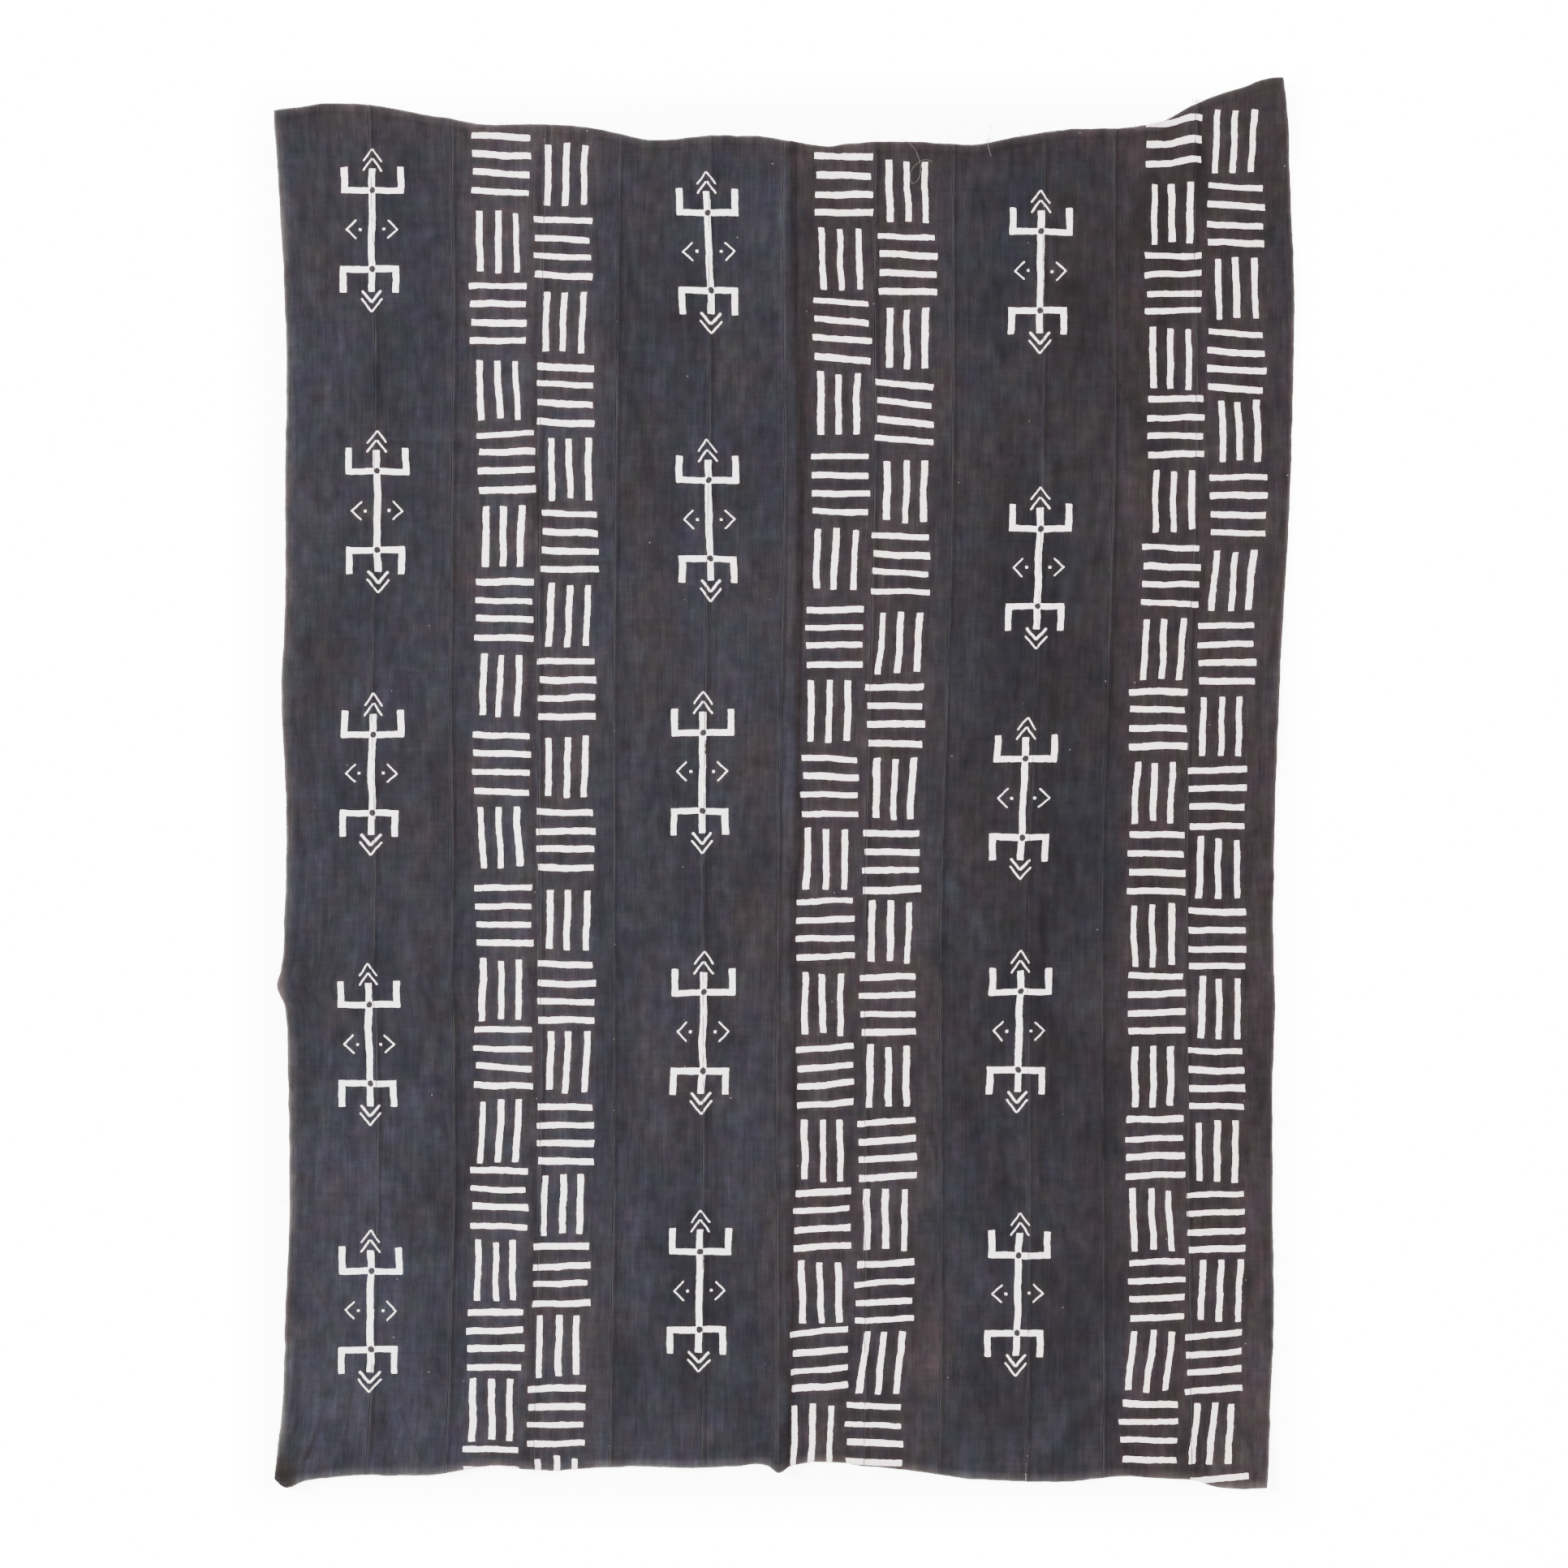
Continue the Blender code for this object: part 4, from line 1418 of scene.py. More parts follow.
@dataclass(frozen=True)
class PaintGroups:
    """The brush strokes that the painted marks are made of."""

    soft: float = 0.0003
    halo: float = 0.0052
    corner_round: float = 0.0014
    # Noise scale and detail of the sway, the blots and the frayed edges
    sway_noise: Row = (30.0, 0.0)
    blot_noise: Row = (130.0, 1.0)
    fray_noise: Row = (620.0, 2.0)

    def finish(self, net: NodeMaker, edge: object, target: object) -> Tree:
        """Feed a stroke's mask and the halo around it from the distance to its edge."""
        net.feed(target["Mask"], net.ramp(edge, -self.soft, self.soft, 1.0, 0.0))
        net.feed(target["Halo"], net.ramp(edge, 0.0, self.halo, 1.0, 0.0))
        return net.tree

    def box(self) -> Tree:
        """A straight stroke along one direction, as a mask with its halo.

        Returns:
            The group.
        """
        inputs = (
            "Across", "Along", "Middle Across", "Middle Along", "Half Width", "Half Length",
        )
        net, source, target = new_group("box stroke", inputs, ("Mask", "Halo"))
        off_x = net.minus(source["Across"], source["Middle Across"])
        off_y = net.minus(source["Along"], source["Middle Along"])
        edge_x = net.minus(net.unsigned(off_x), source["Half Width"])
        edge_y = net.minus(net.unsigned(off_y), source["Half Length"])
        edge = net.math("SMOOTH_MAX", edge_x, edge_y, self.corner_round)
        return self.finish(net, edge, target)

    def stroke(self) -> Tree:
        """A thin stroke between two points, as a mask with its halo.

        Returns:
            The group.
        """
        inputs = ("Place", "Start", "End", "Half Width")
        net, source, target = new_group("thin stroke", inputs, ("Mask", "Halo"))
        off = net.vector("SUBTRACT", source["Place"], source["Start"])
        run = net.vector("SUBTRACT", source["End"], source["Start"])
        reach = net.vector("DOT_PRODUCT", off, run, output="Value")
        whole = net.vector("DOT_PRODUCT", run, run, output="Value")
        share = net.math("DIVIDE", reach, whole, clamp=True)
        nearest = net.vector("SCALE", run, share)
        away = net.vector("LENGTH", net.vector("SUBTRACT", off, nearest), output="Value")
        edge = net.minus(away, source["Half Width"])
        return self.finish(net, edge, target)

    def hand(self) -> Tree:
        """The unsteadiness of a hand-held brush, added to a place.

        Returns:
            The group.
        """
        inputs = ("Place", "Seed", "Sway", "Blot", "Fray")
        net, source, target = new_group("unsteady hand", inputs, ("Place",))
        seeded = net.vector("ADD", source["Place"], net.combine(0.0, 0.0, source["Seed"]))
        moved = source["Place"]
        for label, noise in (
            ("Sway", self.sway_noise), ("Blot", self.blot_noise), ("Fray", self.fray_noise),
        ):
            shift = net.vector("SCALE", net.noise_vector(seeded, *noise), source[label])
            moved = net.vector("ADD", moved, shift)
        net.feed(target["Place"], moved)
        return net.tree


@dataclass(frozen=True)
class BarFinish:
    """Sizes of the painted bars."""

    lying_pitch: float = 0.0206
    standing_pitch: float = 0.0201
    lying_half_length: float = 0.0314
    standing_half_length: float = 0.0337
    half_width: float = 0.00328
    hand_offset: float = 0.0018
    hand_length: float = 0.0026
    hand_width: float = 0.0007
    hand_tilt: float = 0.035
    seed_step: float = 0.37
    sway: float = 0.0036
    blot: float = 0.0018
    fray: float = 0.001
    # Number of the last bar of a block, halved, for lying and for standing bars
    last_bars: tuple[float, float] = (1.5, 1.0)
    chance_sheet: float = 7.0

    def mask(
        self, net: NodeMaker, place: object, paint: "Paint", code: float
    ) -> bpy.types.NodeOutputs:
        """Mask and halo of the bars.

        Args:
            net: the material's nodes.
            place: mark coordinates of the piece.
            paint: the stroke groups.
            code: step between the codes of two blocks.

        Returns:
            The sockets of the mask and of the halo.
        """
        across, coded, _ = net.split(place)
        block = net.math("ROUND", net.math("DIVIDE", coded, code))
        along = net.minus(coded, net.times(block, code))
        swayed = net.use(
            paint.hand,
            Place=net.combine(across, along, 0.0),
            Seed=net.times(block, self.seed_step),
            Sway=self.sway,
            Blot=self.blot,
            Fray=self.fray,
        )[0]
        across, along, _ = net.split(swayed)
        standing = net.unsigned(net.math("MODULO", block, 2.0))
        side = net.blend(standing, along, across)
        run = net.blend(standing, across, along)
        pitch = net.blend(standing, self.lying_pitch, self.standing_pitch)
        outermost = net.blend(standing, *self.last_bars)
        length = net.blend(standing, self.lying_half_length, self.standing_half_length)
        step = net.plus(net.math("DIVIDE", side, pitch), outermost)
        step = net.math("MAXIMUM", net.math("ROUND", step), 0.0)
        step = net.math("MINIMUM", step, net.times(outermost, 2.0))
        bar_x, bar_y, bar_z = net.split(
            net.chance(net.combine(block, step, self.chance_sheet))
        )
        middle = net.times(net.minus(step, outermost), pitch)
        middle = net.plus(middle, net.times(bar_x, self.hand_offset))
        slope = net.times(bar_z, self.hand_tilt)
        middle = net.plus(middle, net.times(slope, run))
        width = net.plus(self.half_width, net.times(bar_y, self.hand_width))
        length = net.plus(length, net.times(bar_z, self.hand_length))
        return net.use(
            paint.box,
            Across=side,
            Along=run,
            Middle_Across=middle,
            Middle_Along=net.times(bar_y, self.hand_length),
            Half_Width=width,
            Half_Length=length,
        )


@dataclass(frozen=True)
class FigureFinish:
    """Sizes of the painted figure."""

    # Middle across, middle along, half width, half length
    stem: Row = (0.0, -0.001, 0.0036, 0.068)
    upper: Rows = (
        (0.0, 0.0434, 0.0346, 0.0034),
        (0.0313, 0.0552, 0.0035, 0.0148),
    )
    lower: Rows = (
        (0.0, -0.0438, 0.0327, 0.0034),
        (0.0291, -0.0556, 0.0035, 0.0148),
    )
    lower_shift: float = -0.0026
    dot: Row = (0.0131, 0.0, 0.0014, 0.0014)
    crossing: Row = (0.0002, 0.0433, 0.0006, 0.0439, 0.0034)
    # Start across, start along, end across, end along, half width
    strokes: Rows = (
        (0.0006, 0.0888, 0.0096, 0.076, 0.0008),
        (0.001, 0.0776, 0.0098, 0.0655, 0.0009),
        (0.0008, -0.08, 0.0102, -0.069, 0.0013),
        (0.0006, -0.0905, 0.0114, -0.0775, 0.0009),
    )
    side_stroke: Row = (0.0281, 0.0, 0.018, 0.0098, 0.0008)
    seed_step: float = 0.61
    sway: float = 0.0036
    blot: float = 0.0015
    fray: float = 0.0008
    crossing_depth: float = 0.85

    def mask(
        self, net: NodeMaker, place: object, paint: "Paint"
    ) -> tuple[object, object]:
        """Mask and halo of the figure.

        Args:
            net: the material's nodes.
            place: mark coordinates of the piece.
            paint: the stroke groups.

        Returns:
            The sockets of the mask and of the halo.
        """
        across, coded, _ = net.split(place)
        number = net.math("ROUND", coded)
        along = net.minus(coded, number)
        swayed = net.use(
            paint.hand,
            Place=net.combine(across, along, 0.0),
            Seed=net.times(number, self.seed_step),
            Sway=self.sway,
            Blot=self.blot,
            Fray=self.fray,
        )[0]
        across, along, _ = net.split(swayed)
        mirrored = net.unsigned(across)
        shifted = net.unsigned(net.minus(across, self.lower_shift))
        folded = net.unsigned(along)
        parts = [self.box_part(net, paint, across, along, self.stem)]
        parts += [self.box_part(net, paint, mirrored, along, row) for row in self.upper]
        parts += [self.box_part(net, paint, shifted, along, row) for row in self.lower]
        parts.append(self.box_part(net, paint, mirrored, along, self.dot))
        half = net.combine(mirrored, along, 0.0)
        parts += [self.stroke_part(net, paint, half, row) for row in self.strokes]
        quarter = net.combine(mirrored, folded, 0.0)
        parts.append(self.stroke_part(net, paint, quarter, self.side_stroke))
        mask, halo = parts[0]["Mask"], parts[0]["Halo"]
        for part in parts[1:]:
            mask = net.math("MAXIMUM", mask, part["Mask"])
            halo = net.math("MAXIMUM", halo, part["Halo"])
        crossed = net.combine(across, folded, 0.0)
        dark = self.stroke_part(net, paint, crossed, self.crossing)["Mask"]
        dark = net.times(dark, self.crossing_depth)
        return net.times(mask, net.minus(1.0, dark)), halo

    def box_part(
        self, net: NodeMaker, paint: "Paint", across: object, along: object, row: Row
    ) -> bpy.types.NodeOutputs:
        """One straight stroke of the figure."""
        labels = ("Middle_Across", "Middle_Along", "Half_Width", "Half_Length")
        return net.use(paint.box, Across=across, Along=along, **dict(zip(labels, row)))

    def stroke_part(
        self, net: NodeMaker, paint: "Paint", place: object, row: Row
    ) -> bpy.types.NodeOutputs:
        """One thin stroke of the figure."""
        return net.use(
            paint.stroke,
            Place=place,
            Start=(row[0], row[1], 0.0),
            End=(row[2], row[3], 0.0),
            Half_Width=row[4],
        )


@dataclass(frozen=True)
class WeaveFinish:
    """Sizes of the plain weave."""

    warp_pitch: float = 0.00115
    weft_pitch: float = 0.00135
    bend_noise: Row = (90.0, 1.0)
    bend: float = 0.0007
    crossing_soft: float = 0.35
    # Tone of the threads: cells along a warp and across a weft thread, and the noise
    warp_cells: float = 9.0
    weft_cells: float = 12.0
    weft_sheet: float = 4.0
    tone_noise: Row = (0.9, 2.0, 0.6)
    slub_cells: Row = (520.0, 34.0, 1.0)
    slub_height: float = 0.8

    def group(self) -> Tree:
        """The weave: height of the threads, their gaps, and the tone of each thread.

        Returns:
            The group.
        """
        outputs = ("Height", "Gap", "Tone", "Slub")
        net, source, target = new_group("plain weave", ("Place",), outputs)
        bent = net.noise_vector(source["Place"], *self.bend_noise)
        bent = net.vector("SCALE", bent, self.bend)
        place = net.vector("ADD", source["Place"], bent)
        across, along, _ = net.split(place)
        warp = net.math("DIVIDE", across, self.warp_pitch)
        weft = net.math("DIVIDE", along, self.weft_pitch)
        warp_wave = net.math("SINE", net.times(warp, math.pi))
        weft_wave = net.math("SINE", net.times(weft, math.pi))
        over = net.times(warp_wave, weft_wave)
        warp_up = net.ramp(over, -self.crossing_soft, self.crossing_soft)
        warp_top = net.unsigned(warp_wave)
        weft_top = net.unsigned(weft_wave)
        height = net.blend(warp_up, weft_top, warp_top)
        gap = net.times(net.minus(1.0, warp_top), net.minus(1.0, weft_top))
        thread = (net.math("FLOOR", warp), net.times(along, self.warp_cells))
        warp_tone = net.noise(net.combine(*thread), *self.tone_noise)
        thread = (net.times(across, self.weft_cells), net.math("FLOOR", weft))
        weft_tone = net.noise(net.combine(*thread, self.weft_sheet), *self.tone_noise)
        tone = net.blend(warp_up, weft_tone, warp_tone)
        slub = net.noise(net.stretch(place, self.slub_cells), 1.0, 2.0)
        slub = net.minus(slub, 0.5)
        height = net.plus(height, net.times(slub, self.slub_height))
        net.feed(target["Height"], height)
        net.feed(target["Gap"], gap)
        net.feed(target["Tone"], tone)
        net.feed(target["Slub"], slub)
        return net.tree


@dataclass(frozen=True)
class DyeFinish:
    """Colours of the dyed ground and of the bare marks."""

    blue: Row = (0.0131, 0.0123, 0.0171, 1.0)
    charcoal: Row = (0.0137, 0.0122, 0.0141, 1.0)
    brown: Row = (0.0183, 0.0135, 0.015, 1.0)
    # Lighter colour for the worn selvedges at the joins, partly a painted highlight on their
    # raised edges, and for the painted highlight on crease tops
    worn_and_highlight: Row = (0.0252, 0.0235, 0.0258, 1.0)
    # Dark colour of the painted shadow beside the joins and of the painted shade at the crease
    # feet
    foot: Row = (0.007, 0.0045, 0.0046, 1.0)
    rim_grey: Row = (0.06, 0.0575, 0.0585, 1.0)
    rim_brown: Row = (0.062, 0.05, 0.0485, 1.0)
    pale: Row = (0.98, 0.918, 0.956, 1.0)
    pink: Row = (0.97, 0.81, 0.815, 1.0)
    lilac: Row = (0.91, 0.86, 0.95, 1.0)
    bleed: Row = (0.063, 0.051, 0.051, 1.0)
    back: Row = (0.027, 0.0236, 0.0248, 1.0)
    # Noises of the ground: scale, detail and roughness, or a scale each way
    broad_noise: Row = (14.0, 3.0, 0.6)
    blotch_noise: Row = (55.0, 3.0, 0.6)
    brown_noise: Row = (24.0, 2.0)
    tint_noise: Row = (38.0, 3.0)
    tint: float = 0.42
    cloud_cells: Row = (95.0, 30.0, 1.0)
    streak_cells: Row = (290.0, 15.0, 1.0)
    weft_cells: Row = (16.0, 250.0, 1.0)
    cloud_noise: Row = (1.0, 4.0, 0.65)
    streak_noise: Row = (1.0, 3.0, 0.6)
    # How strong the clouds, streaks, weft streaks, blotches and thread tones are
    textures: Row = (1.35, 0.95, 0.32, 0.85, 0.42)
    # How the light changes with the gaps, the fade and the halo: slope and start
    gap_light: Row = (-0.5, 1.06)
    fade_light: Row = (0.75, 0.63)
    halo_light: Row = (0.14, 1.0)
    halo_warmth: float = 0.35
    # Ramps that lay one colour over another: from, to and, where not 0 and 1, the shares
    charcoal_ramp: Row = (0.0, 0.7)
    brown_ramp: Row = (0.35, 1.15)
    brown_patch_ramp: Row = (0.6, 0.8, 0.0, 0.35)
    right_join_ramp: Row = (0.0018, 0.0008)
    left_join_ramp: Row = (0.0027, 0.0017)
    join_streak_ramp: Row = (0.32, 0.62, 0.06, 0.55)
    join_fade_ramp: Row = (0.12, 0.38)
    join_shadow_ramp: Row = (0.003, 0.0042, 0.0, 0.28)
    join_shadow_end_ramp: Row = (0.007, 0.005)
    crease_highlight_ramp: Row = (0.05, 0.9, 0.0, 0.45)
    crease_shade_ramp: Row = (0.02, 1.05)
    crease_shade_clouds: Row = (0.4, 0.6)
    rim_brown_ramp: Row = (0.3, 1.0)
    rim_texture: float = 0.5
    back_share: float = 0.85
    # Specks of lint: cells a metre, slope and start of the size, chance, strength
    speck_cells: float = 26.0
    speck_size: Row = (0.012, 0.005)
    speck_chance: float = 0.07
    speck_share: float = 0.16
    # The bare marks
    pink_noise: Row = (34.0, 3.0, 0.6)
    lilac_noise: Row = (22.0, 2.0)
    fibre_cells: Row = (900.0, 260.0, 1.0)
    pink_warmth: float = 0.35
    pink_ramp: Row = (0.55, 0.9)
    lilac_ramp: Row = (0.62, 0.8)
    bare_gap_light: Row = (-0.36, 1.03)
    bare_tone_light: Row = (0.14, 0.94)
    missed_patches: float = 0.3
    missed_ramp: Row = (0.76, 0.95, 0.0, 0.45)
    nick_ramp: Row = (0.0013, 0.0004)
    nick_patch_ramp: Row = (0.42, 0.56, 0.1, 0.75)
    bleed_ramp: Row = (0.0, 0.5)
    cover_ramp: Row = (0.35, 0.85)

    def ground(self) -> Tree:
        """The dyed ground: one colour from place, wear, the painted highlight and shade of the
        creases, the selvedges with their painted highlight and shadow, and marks.

        Returns:
            The group.
        """
        inputs = (
            "Place", "Warmth", "Fade", "Crease", "Reverse", "From Left", "From Right",
            "Tone", "Gap", "Halo", "Rim",
        )
        net, source, target = new_group("dyed ground", inputs, ("Color",))
        place = source["Place"]
        broad = net.noise(place, *self.broad_noise)
        cloudy = net.noise(net.stretch(place, self.cloud_cells), *self.cloud_noise)
        streak = net.noise(net.stretch(place, self.streak_cells), *self.streak_noise)
        weft = net.noise(net.stretch(place, self.weft_cells), *self.streak_noise)
        blotch = net.noise(net.shift(place, (1.0, 4.0, 0.0)), *self.blotch_noise)
        parts = [
            net.line(value, size, 1 - 0.5 * size)
            for value, size in zip((cloudy, streak, weft, blotch, source["Tone"]), self.textures)
        ]
        parts.append(net.line(source["Gap"], *self.gap_light))
        parts.append(net.line(source["Fade"], *self.fade_light))
        parts.append(net.line(source["Halo"], *self.halo_light))
        light = reduce(net.times, parts)
        grey = net.combine(light, light, light)
        warm = net.plus(source["Warmth"], net.minus(broad, 0.5))
        warm = net.plus(warm, net.times(source["Halo"], self.halo_warmth))
        hue = net.noise(net.shift(place, (3.0, 7.0, 0.0)), *self.brown_noise)
        colour = net.mix(net.ramp(warm, *self.charcoal_ramp), self.blue, self.charcoal)
        colour = net.mix(net.ramp(warm, *self.brown_ramp), colour, self.brown)
        colour = net.mix(net.ramp(hue, *self.brown_patch_ramp), colour, self.brown)
        colour = net.mix(1.0, colour, grey, "MULTIPLY")
        tint = net.vector("SCALE", net.noise_vector(place, *self.tint_noise), self.tint)
        colour = net.mix(1.0, colour, net.shift(tint, (1.0, 1.0, 1.0)), "MULTIPLY")
        # Lighter line at the selvedges of each join: worn dye and a painted highlight on the
        # raised edges
        worn_and_lit_join = net.math(
            "MAXIMUM",
            net.ramp(source["From Right"], *self.right_join_ramp),
            net.ramp(source["From Left"], *self.left_join_ramp),
        )
        worn_and_lit_join = net.times(worn_and_lit_join, net.ramp(streak, *self.join_streak_ramp))
        shown = net.ramp(source["Fade"], *self.join_fade_ramp)
        colour = net.mix(net.times(worn_and_lit_join, shown), colour, self.worn_and_highlight)
        # Painted highlight on the tops of the creases
        top = net.ramp(source["Crease"], *self.crease_highlight_ramp)
        colour = net.mix(top, colour, self.worn_and_highlight)
        # Painted shadow a few millimetres in from the left edge of each strip, right of its join
        join_painted_shadow = net.times(
            net.ramp(source["From Left"], *self.join_shadow_ramp),
            net.ramp(source["From Left"], *self.join_shadow_end_ramp),
        )
        colour = net.mix(join_painted_shadow, colour, self.foot)
        # Painted shade at the feet of the creases, patchy with the clouds
        foot = net.ramp(net.times(source["Crease"], -1.0), *self.crease_shade_ramp)
        foot = net.times(foot, net.line(cloudy, *self.crease_shade_clouds))
        colour = net.mix(foot, colour, self.foot)
        brown = net.ramp(warm, *self.rim_brown_ramp)
        rubbed = net.mix(brown, self.rim_grey, self.rim_brown)
        woven = net.mix(1.0, rubbed, grey, "MULTIPLY")
        rubbed = net.mix(self.rim_texture, rubbed, woven)
        colour = net.mix(source["Rim"], colour, rubbed)
        colour = net.mix(self.specks(net, place), colour, self.pale)
        back = net.mix(1.0, self.back, grey, "MULTIPLY")
        reverse = net.times(source["Reverse"], self.back_share)
        net.feed(target["Color"], net.mix(reverse, colour, back))
        return net.tree

    def specks(self, net: NodeMaker, place: object) -> Socket:
        """Mask of the few pale specks of lint.

        Args:
            net: the nodes of the ground.
            place: place on the cloth.

        Returns:
            The socket of the mask.
        """
        cells = net.add("ShaderNodeTexVoronoi", feature="F1", voronoi_dimensions="2D")
        net.feed(cells.inputs["Vector"], place)
        net.feed(cells.inputs["Scale"], self.speck_cells)
        luck = net.split(cells.outputs["Color"])
        size = net.line(luck[1], *self.speck_size)
        near = net.math("LESS_THAN", cells.outputs["Distance"], size)
        chosen = net.math("LESS_THAN", luck[0], self.speck_chance)
        return net.times(net.times(near, chosen), self.speck_share)

    def bare(self) -> Tree:
        """The bare marks over the dyed ground.

        Returns:
            The group.
        """
        inputs = ("Ground", "Place", "Mask", "Tone", "Gap", "Warmth", "From Left")
        net, source, target = new_group("bare marks", inputs, ("Color",))
        place = source["Place"]
        patch = net.noise(place, *self.pink_noise)
        other = net.noise(net.shift(place, (5.0, 2.0, 0.0)), *self.lilac_noise)
        fibre = net.noise(net.stretch(place, self.fibre_cells), 1.0, 2.0)
        pinker = net.line(source["Warmth"], self.pink_warmth, patch)
        colour = net.mix(net.ramp(pinker, *self.pink_ramp), self.pale, self.pink)
        colour = net.mix(net.ramp(other, *self.lilac_ramp), colour, self.lilac)
        light = net.times(
            net.line(source["Gap"], *self.bare_gap_light),
            net.line(source["Tone"], *self.bare_tone_light),
        )
        colour = net.mix(1.0, colour, net.combine(light, light, light), "MULTIPLY")
        missed = net.plus(fibre, net.times(other, self.missed_patches))
        missed = net.ramp(missed, *self.missed_ramp)
        cover = net.times(source["Mask"], net.minus(1.0, missed))
        nick = net.times(
            net.ramp(source["From Left"], *self.nick_ramp),
            net.ramp(patch, *self.nick_patch_ramp),
        )
        cover = net.times(cover, net.minus(1.0, nick))
        stained = net.ramp(source["Mask"], *self.bleed_ramp)
        stained = net.mix(stained, source["Ground"], self.bleed)
        colour = net.mix(net.ramp(cover, *self.cover_ramp), stained, colour)
        net.feed(target["Color"], colour)
        return net.tree


@dataclass(frozen=True)
class Paint:
    """The node groups that the cottons share."""

    box: Tree
    stroke: Tree
    hand: Tree
    weave: Tree
    ground: Tree
    bare: Tree


@dataclass(frozen=True)
class CottonFinish:
    """The cotton of one kind of strip."""

    kind: StripKind
    roughness: float = 0.88
    slub_roughness: float = 0.16
    mark_roughness: float = 0.05
    sheen: float = 0.02
    sheen_roughness: float = 0.5
    gloss: float = 0.06
    relief: float = 0.00045

    def material(self, paint: Paint, marks: MarkLayout) -> bpy.types.Material:
        """Make the material.

        Args:
            paint: the shared node groups.
            marks: layout that the mark coordinates come from.

        Returns:
            The material.
        """
        material, net, shader = new_material(self.kind.value + "_cotton")
        place = net.map("weave")
        weave = net.use(paint.weave, Place=place)
        from_left, from_right, _ = net.split(net.map("selvedge"))
        mark_place = net.map("marks")
        if self.kind is StripKind.BARRED:
            mask, halo = BarFinish().mask(net, mark_place, paint, marks.block_code)
        else:
            mask, halo = FigureFinish().mask(net, mark_place, paint)
        warmth = net.attribute("warmth")
        worn_and_highlight = ("fade", "crease", "rim", "reverse")
        ground = net.use(
            paint.ground,
            Place=place,
            Warmth=warmth,
            From_Left=from_left,
            From_Right=from_right,
            Tone=weave["Tone"],
            Gap=weave["Gap"],
            Halo=halo,
            **{label.title(): net.attribute(label) for label in worn_and_highlight},
        )["Color"]
        colour = net.use(
            paint.bare,
            Ground=ground,
            Place=place,
            Mask=mask,
            Tone=weave["Tone"],
            Gap=weave["Gap"],
            Warmth=warmth,
            From_Left=from_left,
        )["Color"]
        net.feed(shader["Base Color"], colour)
        rough = net.line(weave["Slub"], self.slub_roughness, self.roughness)
        rough = net.plus(rough, net.times(mask, self.mark_roughness))
        net.feed(shader["Roughness"], rough)
        net.feed(shader["Sheen Weight"], self.sheen)
        net.feed(shader["Sheen Roughness"], self.sheen_roughness)
        net.feed(shader["Specular IOR Level"], self.gloss)
        bump = net.add("ShaderNodeBump")
        net.feed(bump.inputs["Strength"], 1.0)
        net.feed(bump.inputs["Distance"], self.relief)
        net.feed(bump.inputs["Height"], weave["Height"])
        net.feed(shader["Normal"], bump.outputs[0])
        return material


@dataclass(frozen=True)
class ThreadFinish:
    """Spun cotton thread with its twist."""

    name: str
    dark: Row
    light: Row
    twist: float = 900.0
    twist_share: float = 0.18
    patch_noise: Row = (120.0, 2.0)
    roughness: float = 0.9
    sheen: float = 0.1

    def material(self) -> bpy.types.Material:
        """Make the material.

        Returns:
            The material.
        """
        material, net, shader = new_material(self.name)
        place = net.add("ShaderNodeTexCoord").outputs["Object"]
        across, along, up = net.split(place)
        slope = net.plus(net.plus(across, along), up)
        strand = net.math("SINE", net.times(slope, self.twist * 2 * math.pi))
        patch = net.noise(place, *self.patch_noise)
        share = net.line(strand, self.twist_share, patch, clamp=True)
        net.feed(shader["Base Color"], net.mix(share, self.dark, self.light))
        net.feed(shader["Roughness"], self.roughness)
        net.feed(shader["Sheen Weight"], self.sheen)
        return material


